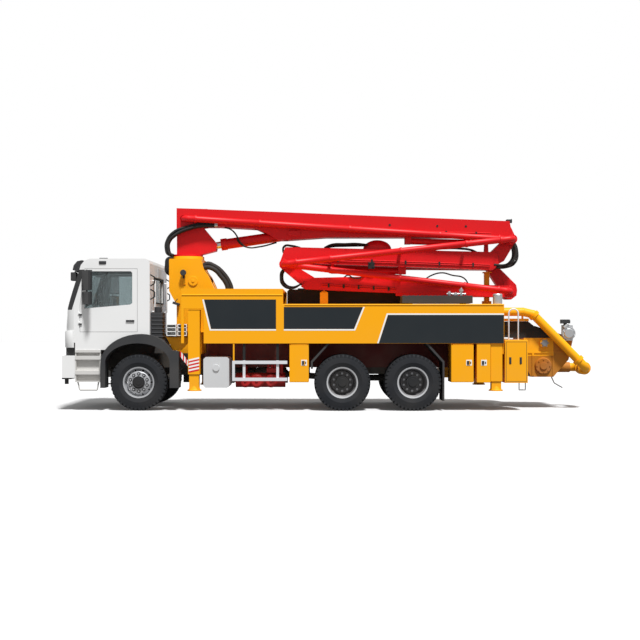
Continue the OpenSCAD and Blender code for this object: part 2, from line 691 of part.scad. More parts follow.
// Walk-on deck plates of the front and the rear section
module deck() color(YELLOW) {
  y = body_y - panel_t;
  block(slew_s + 580, body_step_s, -y + 210, y - 210, body_top - 40, body_top);
  block(body_step_s, body_rear_s, -y, y, deck_top - 40, deck_top);
}

// Cross bearers on the subframe, with the posts that carry the deck
module bearers() color(YELLOW) {
  y = body_y - panel_t;
  for (s = [1500, body_step_s - 189, rear1_s - 600, rear1_s + 600, rear2_s + 650]) {
    block(s, s + 60, -y, y, bearer_z, bearer_z + 100);
    both() block(s, s + 60, rail_y + 60, rail_y + 120, bearer_z + 100,
      (s < body_step_s ? body_top : deck_top) - 40);
  }
}

// Water tank on the right of the rear deck, with its filler neck
module water_tank() color(DARK_GREY) {
  s0 = body_step_s + 25;
  s1 = rear1_s + 1480;
  y = body_y - panel_t - 20;
  side_plate(-y, -y + tank_w, [[s0, deck_top], [s0, deck_top + tank_h - 40], [s0 + 40, deck_top + tank_h],
    [s1 - 40, deck_top + tank_h], [s1, deck_top + tank_h - 40], [s1, deck_top]]);
  translate([fx(s0 + 300), -y + tank_w / 2, deck_top + tank_h - 5]) cylinder(r = 90, h = 35);
}

// Post that carries the folded boom while driving
module boom_rest() color(YELLOW) {
  s = body_rear_s - 195;
  block(s, s + 180, -330, -190, deck_top, deck_top + 90);
  block(s + 40, s + 140, -310, -210, deck_top + 90, 2700);
  block(s + 10, s + 170, -320, -arm2_w / 2 + 45, 2700, 2722);
}

// Closed boxes under the body: tool boxes before and behind the bogie and the control box at the rear
module tool_boxes() color(YELLOW) {
  both() {
    for (b = [front_box, rear_box]) difference() {
      block(b[0], b[1], 700, body_y - 30, 545, body_low);
      block(b[0] + 25, b[1] - 25, 725, body_y, 570, body_low - 25);
    }
    block(rear_box[1] + 60, leg_rear_s - leg_w / 2 - 8, 700, body_y - 10, 540, body_low);
    block(body_rear_s + 15, body_rear_s + 451, 700, body_y, 534, 1353);
    // fixed tubes of the rear legs
    difference() {
      block(leg_rear_s - leg_w / 2, leg_rear_s + leg_w / 2, body_y - 30 - leg_w, body_y - 30, 560,
        body_low);
      block(leg_rear_s - leg_w / 2 + tube_wall, leg_rear_s + leg_w / 2 - tube_wall,
        body_y - 30 - leg_w + tube_wall,
        body_y - 30 - tube_wall, 550, body_low - tube_wall);
    }
    // bearers to the rails
    for (s = [front_box[0] + 110, rear_box[0] + 125]) block(s, s + 80, rail_y, 700, rail_low + 60,
      rail_top - 40);
    block(body_rear_s + 15, rail_rear_s - 10, rail_y, 700, rail_low + 60, rail_top - 40);
  }
}

// Lid of a tool box, hung at its upper edge on a round hinge bar
module lid(box) {
  s0 = box[0];
  s1 = box[1];
  y = body_y - 30;
  cross = body_low - 20;
  block(s0 + 4, s1 - 4, y + 0.5, y + 24, 556, body_low - 30);
  translate([fx(s1 - 30), y + 12, cross]) rotate([0, 90, 0]) cylinder(r = 10, h = s1 - s0 - 60);
  block(s0 + 40, s1 - 40, y + 7, y + 17, body_low - 32, cross);
  block(s1 - 110, s1 - 70, y + 20, body_y + 6, 880, 960);
}
module front_lid_left() color(YELLOW) { lid(front_box); }
module front_lid_right() color(YELLOW) { mirror([0, 1, 0]) lid(front_box); }
module rear_lid_left() color(YELLOW) { lid(rear_box); }
module rear_lid_right() color(YELLOW) { mirror([0, 1, 0]) lid(rear_box); }

/* Pump and hopper */

// Hopper trough with its outlet flange and the rear cross member that carries it
module hopper() color(YELLOW) {
  hw = hopper_w / 2;
  difference() {
    side_plate(-hw, hw, [[hopper_s, hopper_top], [hopper_s + 970, hopper_top], [hopper_s + 880, 960],
      [hopper_s + 580, 620], [hopper_s + 140, 620], [hopper_s, 900]]);
    side_plate(-hw + 25, hw - 25, [[hopper_s + 25, hopper_top + 1], [hopper_s + 944, hopper_top + 1],
      [hopper_s + 856, 972], [hopper_s + 568, 645], [hopper_s + 151, 645], [hopper_s + 25, 907]]);
  }
  // carrier between the rails and the hopper
  block(hopper_s - 180, hopper_s, -rail_y, rail_y, rail_low + 30, rail_top - 20);
  // outlet
  bar([hopper_s + 700, 0, 790], [hopper_s + 1030, 0, 790], feed_r + 20);
  // stiffening ribs on the side walls
  both() for (s = [hopper_s + 160, hopper_s + 560]) block(s, s + 40, hw, hw + 14, 640, hopper_top - 300);
  both() block(hopper_s + 4, hopper_s + 900, hw, hw + 14, hopper_top - 300, hopper_top - 262);
  // agitator bearings
  both() cross_bar([hopper_s + 400, hopper_top - 100], 90, hw, hw + 60);
}

// Grate over the hopper, hinged at its front edge
module hopper_grate() color(STEEL) {
  hw = hopper_w / 2 - 30;
  z = hopper_top + 20;
  translate([fx(hopper_s + 30), -hw - 17, z]) rotate([-90, 0, 0]) cylinder(r = 12, h = 2 * hw + 34);
  for (y = [-hw : (2 * hw - 20) / 12 : hw - 19]) block(hopper_s + 30, hopper_s + 960, y, y + 20, z - 10,
    z + 10);
  for (s = [220, 470, 720, 940]) block(hopper_s + s, hopper_s + s + 20, -hw, hw, z - 10, z + 10);
}

// Rubber splash guard standing on the side walls of the hopper, closed towards the deck
module splash_guard() color(BLACK) {
  hw = hopper_w / 2;
  both() side_plate(hw - 12.5, hw, [[hopper_s - 300, hopper_top], [hopper_s - 300, 1640],
    [hopper_s + 220, 1620],
    [hopper_s + 770, hopper_top + 60], [hopper_s + 770, hopper_top]]);
  block(hopper_s - 300, hopper_s - 285, -hw + 12.5, hw - 12.5, hopper_top + 60, 1640);
}

// Concrete line from the hopper outlet up to the deck
module delivery_pipe() color(YELLOW) {
  y = hopper_w / 2 + 20 + feed_r;
  low = [hopper_s + 1210, 790];
  up = [hopper_s + 160, 1850];
  dir = (up - low) / norm(up - low);
  // bend from the hopper outlet to the left, cross run, then the bend up into the rising pipe
  translate([fx(hopper_s + 1030), 180, low[1]]) rotate([0, 0, 180]) rotate_extrude(angle = 90)
    translate([180, 0]) circle(r = feed_r);
  bar([hopper_s + 1210, 179, low[1]], [hopper_s + 1210, y - 149, low[1]], feed_r);
  along(low, up) {
    translate([150, y - 150, 0]) rotate([0, 0, 90]) rotate_extrude(angle = 90)
      translate([150, 0]) circle(r = feed_r);
    translate([150, y, 0]) rotate([0, 90, 0]) cylinder(r = feed_r, h = norm(up - low) - 150);
    for (x = [200, norm(up - low) - 60]) translate([x, y, 0]) rotate([0, 90, 0])
      cylinder(r = feed_r + 26, h = 60);
  }
  // elbow to the level run that enters the rear bulkhead
  translate([fx(up[0]), y, up[1]]) sphere(r = feed_r + 2);
  bar([up[0], y, up[1]], [hopper_s - 40, y, deck_top - 60 - feed_r], feed_r);
  translate([fx(hopper_s - 40), y, deck_top - 60 - feed_r]) sphere(r = feed_r + 2);
  bar([hopper_s - 40, y, deck_top - 60 - feed_r], [body_rear_s, y, deck_top - 60 - feed_r], feed_r);
}

// Two pumping cylinders with the water box, on cradles over the frame
module pump_unit() color(STEEL) {
  z = rail_top + 40 + pump_r;
  both() {
    bar([rear1_s - 480, 150, z], [hopper_s, 150, z], pump_r);
    for (s = [rear1_s - 300, rear2_s + 350, rear2_s + 1550]) difference() {
      block(s, s + 80, 20, rail_y, rail_top, z);
      bar([s - 1, 150, z], [s + 81, 150, z], pump_r);
    }
  }
}

/* Outriggers */

// Telescopic beam across the truck with the leg tube at its outer end
module front_beam(z0) {
  g = slide_fit;
  out = body_y - 20;
  difference() {
    union() {
      block(leg_s - leg_w / 2 + g, leg_s + leg_w / 2 - g, -body_y + 300, out - leg_w, z0 + tube_wall + g,
        z0 + beam_h - tube_wall - g);
      block(leg_s - leg_w / 2, leg_s + leg_w / 2, out - leg_w, out, 700, 1930);
    }
    block(leg_s - leg_w / 2 + tube_wall, leg_s + leg_w / 2 - tube_wall, out - leg_w + tube_wall,
      out - tube_wall, 690,
      1930 - tube_wall);
  }
}
module front_beam_left() color(YELLOW) { front_beam(rail_top); }
module front_beam_right() color(YELLOW) { mirror([0, 1, 0]) front_beam(rail_top + beam_h); }

// Jack that slides down out of a leg tube, with its foot plate
module leg(s, z1, out) {
  g = tube_wall + slide_fit;
  c = out - leg_w / 2;
  block(s - leg_w / 2 + g, s + leg_w / 2 - g, out - leg_w + g, out - g, foot_z + 20, z1);
  translate([fx(s), c, foot_z]) cylinder(r = leg_w / 2 + 25, h = 22);
  translate([fx(s), c, foot_z + 20]) cylinder(r1 = leg_w / 2 + 5, r2 = leg_w / 2 - g - 2, h = 80);
}
module front_leg_left() color(YELLOW) { leg(leg_s, 1880, body_y - 20); }
module front_leg_right() color(YELLOW) { mirror([0, 1, 0]) leg(leg_s, 1880, body_y - 20); }
module rear_leg_left() color(YELLOW) { leg(leg_rear_s, 1260, body_y - 30); }
module rear_leg_right() color(YELLOW) { mirror([0, 1, 0]) leg(leg_rear_s, 1260, body_y - 30); }

/* Boom */

// Slewing head: base ring, two cheeks with the foot pin of the boom, slotted for the lift cylinder
module turret() color(RED) {
  h = arm1_w / 2 - 60;
  difference() {
    union() {
      translate([fx(slew_s), 0, pedestal_top + 0.5]) cylinder(r = 300, h = 40);
      translate([fx(slew_s), 0, pedestal_top - 120]) cylinder(r = 150, h = 130);
      side_plate(-h, h, [[slew_s - 208, pedestal_top + 40], [slew_s + 240, pedestal_top + 30],
        lift_eye + [45, -110],
        lift_eye + [70, 20], hinge_a + [400, -190], hinge_a + [170, 0], hinge_a + [120, 120],
          hinge_a + [0, 170],
        hinge_a + [-120, 120], hinge_a + [-145, -120], hinge_a + [-145, -300]]);
    }
    block(slew_s + 60, slew_s + 900, -75, 75, pedestal_top + 120, pedestal_top + 1200);
  }
  cross_bar(hinge_a, 70, -arm1_w / 2, pipe_y1 - elbow_r - slide_fit);
}

// First arm: long tapering box, foot plates round the turret, fork at the rear end
module arm1() color(RED) {
  w = arm1_w / 2;
  a = hinge_a;
  b = hinge_b;
  difference() {
    union() {
      // box
      side_plate(-w, w, [a + [470, 190], b + [-30, 375], b + [10, 180], b + [-160, 90], b + [-300, 50],
        b + [-1500, 55],
        b + [-3700, 55], lift_base + [100, -90], lift_base + [-60, -90], lift_base + [-260, 30],
          a + [1450, -200],
        a + [700, -157], a + [470, -157]]);
      // foot plates
      both() side_plate(w - 50, w, [a + [-143, 211], a + [475, 193], a + [475, -157], a + [300, -180],
        a + [-143, -200]]);
      block(a[0] + 330, a[0] + 475, -w, w, a[1] + 180, a[1] + 195);
      // fork plates
      both() side_plate(w - 60, w, [b + [-320, 300], b + [0, 250], b + [95, 50], b + [100, -40],
        b + [40, -105],
        b + [-60, -95], b + [-320, 40]]);
    }
    cross_bar(a, 70 + run_fit, -w - 1, w + 1);
    // slot for the lift cylinder
    block(a[0] + 1400, lift_base[0] + 140, -130, 130, a[1] - 700, a[1] - 130);
    // room for the nose of the second arm
    block(b[0] - 330, b[0] + 300, -w + 60, w - 60, b[1] - 300, b[1] + 200);
  }
  cross_bar(b, 60, -w, w);
  cross_bar(lift_base, 55, -w, w);
  arm_pipe(a, b, pipe_y1, -1, 1);
  // pair of fold cylinders of the second arm, hung under the box
  for (y = [-100, 100]) {
    bar([b[0] - 2000, y, b[1] - 15], [b[0] - 800, y, b[1] - 45], 55);
    for (k = [-60, 45]) block(b[0] - 2110, b[0] - 1990, y + k, y + k + 15, b[1] - 70, b[1] + 56);
    cross_bar([b[0] - 2050, b[1] - 14], 42, y - 60, y + 60);
    bar([b[0] - 2050, y, b[1] - 14], [b[0] - 1990, y, b[1] - 15], 38);
    block(b[0] - 860, b[0] - 800, y - 25, y + 25, b[1] - 50, b[1] + 56);
  }
  // pipe brackets
  along(a, b) for (x = [1500, 3300, 5100]) {
    translate([x, w - 5, -20]) cube([60, pipe_y1 - w, 40]);
    translate([x + 8, pipe_y1, 0]) rotate([0, 90, 0]) cylinder(r = pipe_r + 10, h = 44);
  }
}

// Second arm: box under the first arm, noses up to hinge b and down to hinge c
module arm2() color(RED) {
  w = arm2_w / 2;
  n = arm1_w / 2 - 70;
  b = hinge_b;
  c = hinge_c;
  difference() {
    union() {
      side_plate(-w, w, [c + [260, 350], b + [-400, -240], b + [-270, -270], b + [-240, -480],
        b + [-350, -600],
        c + [700, 20], c + [260, 80]]);
      side_plate(-n, n, [b + [-420, -400], b + [-420, -270], b + [-110, 30], b + [-60, 90], b + [30, 98],
        b + [95, 30],
        b + [90, -50], b + [-130, -420], b + [-240, -480]]);
      both() side_plate(w - 60, w, [c + [270, 350], c + [20, 350], c + [-95, 30], c + [-95, -40],
        c + [-20, -95],
        c + [80, -70], c + [270, 80]]);
    }
    cross_bar(b, 60 + run_fit, -w - 100, w + 100);
  }
  cross_bar(c, 55, -w, w);
  arm_pipe(c, b, pipe_y2, -1, -1);
  // fold cylinder of the third arm, hung under the box
  bar([c[0] + 940, 0, c[1] - 120], [c[0] + 2330, 0, c[1] - 130], 55);
  for (k = [-70, 55]) block(c[0] + 2290, c[0] + 2450, k, k + 15, c[1] - 185, c[1] + 10);
  cross_bar([c[0] + 2380, c[1] - 130], 42, -70, 70);
  bar([c[0] + 2320, 0, c[1] - 130], [c[0] + 2380, 0, c[1] - 130], 38);
  block(c[0] + 940, c[0] + 1000, -25, 25, c[1] - 120, c[1] + 30);
  along(c, b) for (x = [900, 2300, 3600]) {
    translate([x, w - 5, -20]) cube([60, pipe_y2 - w, 40]);
    translate([x + 8, pipe_y2, 0]) rotate([0, 90, 0]) cylinder(r = pipe_r + 10, h = 44);
  }
}

// Third arm: lowest box, nose up to hinge c, tapering to hinge d
module arm3() color(RED) {
  w = arm3_w / 2;
  n = arm2_w / 2 - 70;
  c = hinge_c;
  d = hinge_d;
  difference() {
    union() {
      side_plate(-w, w, [c + [560, -260], d + [-2300, 310], d + [-500, 130], d + [60, 115], d + [112, 65],
        d + [130, 0], d + [112, -65], d + [60, -115], d + [-700, -110], d + [-2300, -30], c + [430, -490],
        c + [330, -430]]);
      side_plate(-n, n, [c + [-90, 30], c + [-40, 88], c + [60, 80], c + [600, -250], c + [600, -350],
        c + [400, -460],
        c + [-60, -75], c + [-90, -20]]);
    }
    cross_bar(c, 55 + run_fit, -w - 100, w + 100);
  }
  cross_bar(d, 50, arm4_y - arm4_w / 2, -w + 10);
  arm_pipe(c, d, pipe_y1, 1, -1);
  along(c, d) for (x = [900, 2300, 3600]) {
    translate([x, w - 5, -20]) cube([60, pipe_y1 - w, 40]);
    translate([x + 8, pipe_y1, 0]) rotate([0, 90, 0]) cylinder(r = pipe_r + 10, h = 44);
  }
}

// Fourth arm: on the right of the second, nose down to hinge d
module arm4() color(RED) {
  w = arm4_w / 2;
  d = hinge_d;
  translate([0, arm4_y, 0]) difference() {
    side_plate(-w, w, [d + [-300, 720], d + [-arm4_len, 640], d + [-arm4_len, 480], d + [-380, 450],
      d + [-100, 20],
      d + [-90, -90], d + [0, -150], d + [120, -150], d + [225, -70], d + [240, 40], d + [220, 150],
        d + [-110, 480]]);
    cross_bar(d, 50 + run_fit, -w - 1, w + 1);
  }
}

// Lift cylinder tube with its base eye on the first arm
module lift_barrel() color(RED) {
  e = lift_base;
  difference() {
    union() {
      along(e, lift_eye) rotate([0, 90, 0]) cylinder(r = lift_r, h = norm(lift_eye - e) - 140);
      along(e, lift_eye) translate([norm(lift_eye - e) - 260, 0, 0]) rotate([0, 90, 0])
        cylinder(r = lift_r + 14, h = 120);
      cross_bar(e, 95, -90, 90);
    }
    cross_bar(e, 55 + run_fit, -200, 200);
    along(e, lift_eye) translate([300, 0, 0]) rotate([0, 90, 0]) cylinder(r = 70 + run_fit, h = 3000);
  }
}

// Lift cylinder rod with its eye at the turret
module lift_rod() color(SILVER) {
  e = lift_base;
  run = norm(lift_eye - e);
  along(e, lift_eye) translate([310, 0, 0]) rotate([0, 90, 0]) cylinder(r = 70, h = run - 310);
  cross_bar(lift_eye, 72, -60, 60);
}

chassis_frame();
engine_block();
front_axle();
rear_axles();
knuckle_left();
knuckle_right();
front_rim_left();
front_rim_right();
front_tyre_left();
front_tyre_right();
rear1_rim_left();
rear1_rim_right();
rear1_tyre_left();
rear1_tyre_right();
rear2_rim_left();
rear2_rim_right();
rear2_tyre_left();
rear2_tyre_right();
tanks();
side_rails();
cab_shell();
cab_glass();
cab_interior();
bumper();
headlamps();
cab_steps();
fenders();
roof_items();
door_left();
door_right();
pedestal();
side_bodies();
deck();
bearers();
water_tank();
boom_rest();
tool_boxes();
front_lid_left();
front_lid_right();
rear_lid_left();
rear_lid_right();
hopper();
hopper_grate();
splash_guard();
delivery_pipe();
pump_unit();
front_beam_left();
front_beam_right();
front_leg_left();
front_leg_right();
rear_leg_left();
rear_leg_right();
turret();
arm1();
arm2();
arm3();
arm4();
lift_barrel();
lift_rod();
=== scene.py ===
"""Concrete pump truck with a stowed four-section boom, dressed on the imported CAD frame."""
import math

import bmesh
import bpy
from mathutils import Matrix, Vector


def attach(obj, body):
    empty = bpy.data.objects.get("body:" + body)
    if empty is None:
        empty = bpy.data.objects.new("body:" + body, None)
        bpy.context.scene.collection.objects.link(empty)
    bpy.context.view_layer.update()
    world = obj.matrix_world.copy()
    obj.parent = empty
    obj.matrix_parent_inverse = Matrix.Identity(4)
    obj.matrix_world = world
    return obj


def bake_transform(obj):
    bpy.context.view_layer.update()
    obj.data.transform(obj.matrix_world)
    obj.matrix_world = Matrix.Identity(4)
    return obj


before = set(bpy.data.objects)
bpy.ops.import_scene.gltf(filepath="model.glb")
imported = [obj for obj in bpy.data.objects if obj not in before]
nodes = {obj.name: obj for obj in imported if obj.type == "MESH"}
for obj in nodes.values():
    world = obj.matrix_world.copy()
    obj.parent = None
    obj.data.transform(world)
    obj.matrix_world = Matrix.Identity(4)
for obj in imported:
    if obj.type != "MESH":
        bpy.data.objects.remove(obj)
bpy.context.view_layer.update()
scene = bpy.context.scene
scene.view_settings.view_transform = "Standard"

# Camera: a level view of the truck's left side from about 22 m, at chest height.
# Its lens is shifted up a little, which brings the truck to its place in the frame.
eye = (0.199, 21.95, 1.62)
picture_width = 640
shift_pixels = 6
camera = bpy.data.objects.new("camera", bpy.data.cameras.new("camera"))
camera.data.lens = 61.1
camera.data.sensor_width = 36.0
camera.data.shift_y = shift_pixels / picture_width
camera.location = eye
camera.rotation_euler = (math.radians(90), 0, math.radians(180))
scene.collection.objects.link(camera)
scene.camera = camera

# Chassis: two pressed steel channel rails with cross members, dark red and black under the cab,
# the engine and gearbox between them, two driven axles on leaf springs and a steered front axle.
dust_colour = (0.30, 0.26, 0.21)


def weathering_group():
    """Stains, road dust that thickens towards the ground, and a fine grain for gloss and bump."""
    group = bpy.data.node_groups.new("weathering", "ShaderNodeTree")
    for name, kind in (("Vector", "NodeSocketVector"), ("Colour", "NodeSocketColor"),
                       ("Dust", "NodeSocketFloat"), ("Grain", "NodeSocketFloat"),
                       ("Roughness", "NodeSocketFloat")):
        group.interface.new_socket(name, in_out="INPUT", socket_type=kind)
    group.interface.new_socket("Colour", in_out="OUTPUT", socket_type="NodeSocketColor")
    group.interface.new_socket("Roughness", in_out="OUTPUT", socket_type="NodeSocketFloat")
    group.interface.new_socket("Height", in_out="OUTPUT", socket_type="NodeSocketFloat")
    add = group.nodes.new
    link = group.links.new
    source = add("NodeGroupInput")
    target = add("NodeGroupOutput")
    stain = add("ShaderNodeTexNoise")
    stain.inputs["Scale"].default_value = 1.7
    stain.inputs["Detail"].default_value = 6.0
    link(source.outputs["Vector"], stain.inputs["Vector"])
    patch = add("ShaderNodeMapRange")
    patch.inputs["From Min"].default_value = 0.35
    patch.inputs["From Max"].default_value = 0.75
    link(stain.outputs["Fac"], patch.inputs["Value"])
    split = add("ShaderNodeSeparateXYZ")
    link(source.outputs["Vector"], split.inputs[0])
    low = add("ShaderNodeMapRange")
    low.inputs["From Min"].default_value = 1.5
    low.inputs["From Max"].default_value = 0.2
    low.inputs["To Min"].default_value = 0.35
    low.inputs["To Max"].default_value = 1.35
    link(split.outputs["Z"], low.inputs["Value"])
    spread = add("ShaderNodeMath")
    spread.operation = "MULTIPLY"
    link(low.outputs[0], spread.inputs[0])
    link(patch.outputs[0], spread.inputs[1])
    amount = add("ShaderNodeMath")
    amount.operation = "MULTIPLY"
    amount.use_clamp = True
    link(spread.outputs[0], amount.inputs[0])
    link(source.outputs["Dust"], amount.inputs[1])
    blend = add("ShaderNodeMix")
    blend.data_type = "RGBA"
    blend.inputs[7].default_value = (*dust_colour, 1)
    link(amount.outputs[0], blend.inputs[0])
    link(source.outputs["Colour"], blend.inputs[6])
    link(blend.outputs[2], target.inputs["Colour"])
    grain = add("ShaderNodeTexNoise")
    grain.inputs["Detail"].default_value = 3.0
    link(source.outputs["Vector"], grain.inputs["Vector"])
    link(source.outputs["Grain"], grain.inputs["Scale"])
    rough = add("ShaderNodeMath")
    rough.operation = "MULTIPLY_ADD"
    rough.inputs[1].default_value = 0.12
    link(grain.outputs["Fac"], rough.inputs[0])
    link(source.outputs["Roughness"], rough.inputs[2])
    link(rough.outputs[0], target.inputs["Roughness"])
    link(grain.outputs["Fac"], target.inputs["Height"])
    return group


weathering = weathering_group()


def finish(name, colour, roughness, metallic=0.0, dust=0.15, grain=90.0, bump=0.05, gloss=0.0,
           second=None, beyond=()):
    """A weathered surface; beyond all given planes, (normal, distance), it has a second colour."""
    material = bpy.data.materials.new(name)
    material.use_nodes = True
    tree = material.node_tree
    shader = tree.nodes["Principled BSDF"]
    shader.inputs["Metallic"].default_value = metallic
    shader.inputs["Coat Weight"].default_value = gloss
    shader.inputs["Specular IOR Level"].default_value = 0.25
    place = tree.nodes.new("ShaderNodeTexCoord")
    wear = tree.nodes.new("ShaderNodeGroup")
    wear.node_tree = weathering
    wear.inputs["Colour"].default_value = (*colour, 1)
    wear.inputs["Dust"].default_value = dust
    wear.inputs["Grain"].default_value = grain
    wear.inputs["Roughness"].default_value = roughness
    tree.links.new(place.outputs["Object"], wear.inputs["Vector"])
    relief = tree.nodes.new("ShaderNodeBump")
    relief.inputs["Strength"].default_value = bump
    relief.inputs["Distance"].default_value = 0.004
    tree.links.new(wear.outputs["Height"], relief.inputs["Height"])
    tree.links.new(relief.outputs["Normal"], shader.inputs["Normal"])
    tree.links.new(wear.outputs["Roughness"], shader.inputs["Roughness"])
    tree.links.new(wear.outputs["Colour"], shader.inputs["Base Color"])
    if second:
        inside = None
        for normal, distance in beyond:
            reach = tree.nodes.new("ShaderNodeVectorMath")
            reach.operation = "DOT_PRODUCT"
            reach.inputs[1].default_value = normal
            tree.links.new(place.outputs["Object"], reach.inputs[0])
            past = tree.nodes.new("ShaderNodeMath")
            past.operation = "GREATER_THAN"
            past.inputs[1].default_value = distance
            tree.links.new(reach.outputs["Value"], past.inputs[0])
            if inside:
                both = tree.nodes.new("ShaderNodeMath")
                both.operation = "MULTIPLY"
                tree.links.new(inside, both.inputs[0])
                tree.links.new(past.outputs[0], both.inputs[1])
                past = both
            inside = past.outputs[0]
        choice = tree.nodes.new("ShaderNodeMix")
        choice.data_type = "RGBA"
        choice.inputs[6].default_value = (*colour, 1)
        choice.inputs[7].default_value = (*second, 1)
        tree.links.new(inside, choice.inputs[0])
        tree.links.new(choice.outputs[2], wear.inputs["Colour"])
    return material


def roll_edges(obj, width, angle):
    """Rounds the edges of an object that are sharper than an angle in degrees."""
    rounding = obj.modifiers.new("edge", "BEVEL")
    rounding.width = width
    rounding.segments = 2
    rounding.limit_method = "ANGLE"
    rounding.angle_limit = math.radians(angle)


def dress(name, material, edge=0.0):
    """Gives a CAD node its finish and, where edge is set, small rolled edges."""
    node = nodes[name]
    node.data.materials.clear()
    node.data.materials.append(material)
    if edge:
        join = node.modifiers.new("join", "WELD")
        join.merge_threshold = 0.0001
        roll_edges(node, edge, 40)


black_from_x = 2.75
frame_red = finish("frame_red", (0.16, 0.025, 0.022), 0.5, dust=0.35, second=(0.012, 0.011, 0.011),
                   beyond=(((1, 0, 0), black_from_x),))
cast_black = finish("cast_black", (0.03, 0.03, 0.032), 0.6, dust=0.5, grain=160, bump=0.3)
dress("chassis_frame", frame_red)
for name in ("engine_block", "front_axle", "rear_axles", "knuckle_left", "knuckle_right"):
    dress(name, cast_black)

# Wheels: radial truck tyres of black rubber on pressed steel discs, ten nuts to a hub,
# single in front with the disc pressed outwards, twins with a deep dish at the rear.
front_axle_x = 3.673


def at(station):
    """X of a station given in metres behind the front axle."""
    return front_axle_x - station


def piece(name, bm, material, body, edge=0.0):
    """Turns a bmesh into a named piece that rides on a body."""
    bmesh.ops.recalc_face_normals(bm, faces=bm.faces)
    mesh = bpy.data.meshes.new(name)
    bm.to_mesh(mesh)
    bm.free()
    mesh.materials.append(material)
    obj = bpy.data.objects.new(name, mesh)
    scene.collection.objects.link(obj)
    if edge:
        roll_edges(obj, edge, 30)
    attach(obj, body)


def add_rod(bm, start, end, radius, segments=20, tip=None):
    """Adds a round bar between two (station, y, height) points; tip is a second radius."""
    a = Vector((at(start[0]), start[1], start[2]))
    b = Vector((at(end[0]), end[1], end[2]))
    turn = (b - a).to_track_quat("Z", "Y").to_matrix().to_4x4()
    bmesh.ops.create_cone(bm, cap_ends=True, segments=segments, radius1=radius,
                          radius2=radius if tip is None else tip,
                          depth=(b - a).length, matrix=Matrix.Translation((a + b) / 2) @ turn)


def add_pin(bm, spot, y0, y1, radius, segments=20, tip=None):
    """Adds a round bar across the truck from y0 to y1 at a (station, height) point."""
    s, z = spot
    add_rod(bm, (s, y0, z), (s, y1, z), radius, segments, tip)


def add_bolts(bm, centre, count, circle, y0, y1, radius, segments=6, turn=0):
    """Adds bolt heads from y0 to y1 on a circle round a (station, height) point."""
    for k in range(count):
        a = math.tau * k / count + math.radians(turn)
        spot = (centre[0] + circle * math.cos(a), centre[1] + circle * math.sin(a))
        add_pin(bm, spot, y0, y1, radius, segments)


tyre_black = finish("tyre_black", (0.015, 0.017, 0.021), 0.75, dust=0.05, grain=240, bump=0.3)
rim_silver = finish("rim_silver", (0.50, 0.51, 0.53), 0.36, metallic=0.5, dust=0.12)
hub_black = finish("hub_black", (0.016, 0.017, 0.019), 0.5, dust=0.06)
rim_edge = 1.195
sides = (("left", 1), ("right", -1))
lugs_round = 42
lug_size = (0.044, 0.034, 0.052)
lug_inset = 0.027
lug_sink = 0.0275
axle_height = 0.538
tyre_radius = axle_height
tyre_half = 0.1575
nuts_round = 10
nut_circle = 0.167
# station of each axle, the middles of its tyres, and its hub cap as rings of (radius, from, to)
front_cap = ((0.121, 1.146, 1.1555), (0.094, 1.155, 1.168), (0.050, 1.168, 1.174))
rear_cap = ((0.122, 1.160, 1.176), (0.080, 1.176, 1.188))
twin_rows = (1.0825, 0.7345)
wheels = {"front": (0.0, (1.015,), front_cap), "rear1": (3.900, twin_rows, rear_cap),
          "rear2": (5.250, twin_rows, rear_cap)}
for side, sign in sides:
    # the rear rims are dark grey and silver only on the outer twin's outer lip; the dark grey is painted
    # shade of the deep dish
    rim_lip_and_dish_shade = finish(f"rim_lip_and_dish_shade_{side}", (0.20, 0.20, 0.21), 0.45, metallic=0.4, dust=0.2,
                      second=(0.55, 0.56, 0.58), beyond=(((0, sign, 0), rim_edge),))
    for axle, (station, rows, cap) in wheels.items():
        wheel = f"{axle}_wheel_{side}"
        dress(f"{axle}_tyre_{side}", tyre_black)
        dress(f"{axle}_rim_{side}", rim_silver if axle == "front" else rim_lip_and_dish_shade)
        bm = bmesh.new()
        for y in rows:
            hub = Matrix.Translation((at(station), sign * y, axle_height))
            for edge in (-1, 1):
                spot = Matrix.Translation((0, edge * (tyre_half - lug_inset), tyre_radius - lug_sink))
                lug = spot @ Matrix.Diagonal((*lug_size, 1))
                for k in range(lugs_round):
                    turn = Matrix.Rotation(math.tau * (k + 0.25 * edge) / lugs_round, 4, "Y")
                    bmesh.ops.create_cube(bm, size=1, matrix=hub @ turn @ lug)
        piece(f"{axle}_lugs_{side}", bm, tyre_black, wheel)
        bm = bmesh.new()
        for radius, y0, y1 in cap:
            add_pin(bm, (station, axle_height), sign * y0, sign * y1, radius, 40)
        piece(f"{axle}_hub_cap_{side}", bm, hub_black, wheel, 0.003)
        # dark washers under the front nuts, bright caps on the rear ones
        bm = bmesh.new()
        reach, y0, y1 = (0.033, 1.1215, 1.126) if axle == "front" else (0.021, 0.985, 1.002)
        add_bolts(bm, (station, axle_height), nuts_round, nut_circle, sign * y0, sign * y1, reach, 20, 90)
        material, slot = (hub_black, "cast") if axle == "front" else (rim_silver, "steel")
        piece(f"{axle}_nut_rings_{side}", bm, material, wheel)

# Tanks and guards: welded aluminium fuel tanks with a filler cap, red air tanks behind them,
# and aluminium side guards and ladder loops bolted below the body.
alloy = finish("alloy", (0.62, 0.63, 0.64), 0.34, metallic=0.8, dust=0.12, grain=60)
fuel_tank_rear_x = 1.89
tank_mix = finish("tank_alloy_red", (0.30, 0.012, 0.012), 0.40, metallic=0.25, dust=0.12, grain=60,
                  second=(0.66, 0.67, 0.68), beyond=(((1, 0, 0), fuel_tank_rear_x),))
dress("tanks", tank_mix, 0.02)
# the guard posts are near-black above the upper rail, painted shade of the dark gap under the body
guard_top = 0.962
guard_alloy_and_shade = finish("guard_alloy_and_shade", (0.74, 0.75, 0.78), 0.34, metallic=0.2, dust=0.10, grain=60,
                     second=(0.02, 0.02, 0.02), beyond=(((0, 0, 1), guard_top), ((1, 0, 0), 0.0)))
dress("side_rails", guard_alloy_and_shade, 0.004)

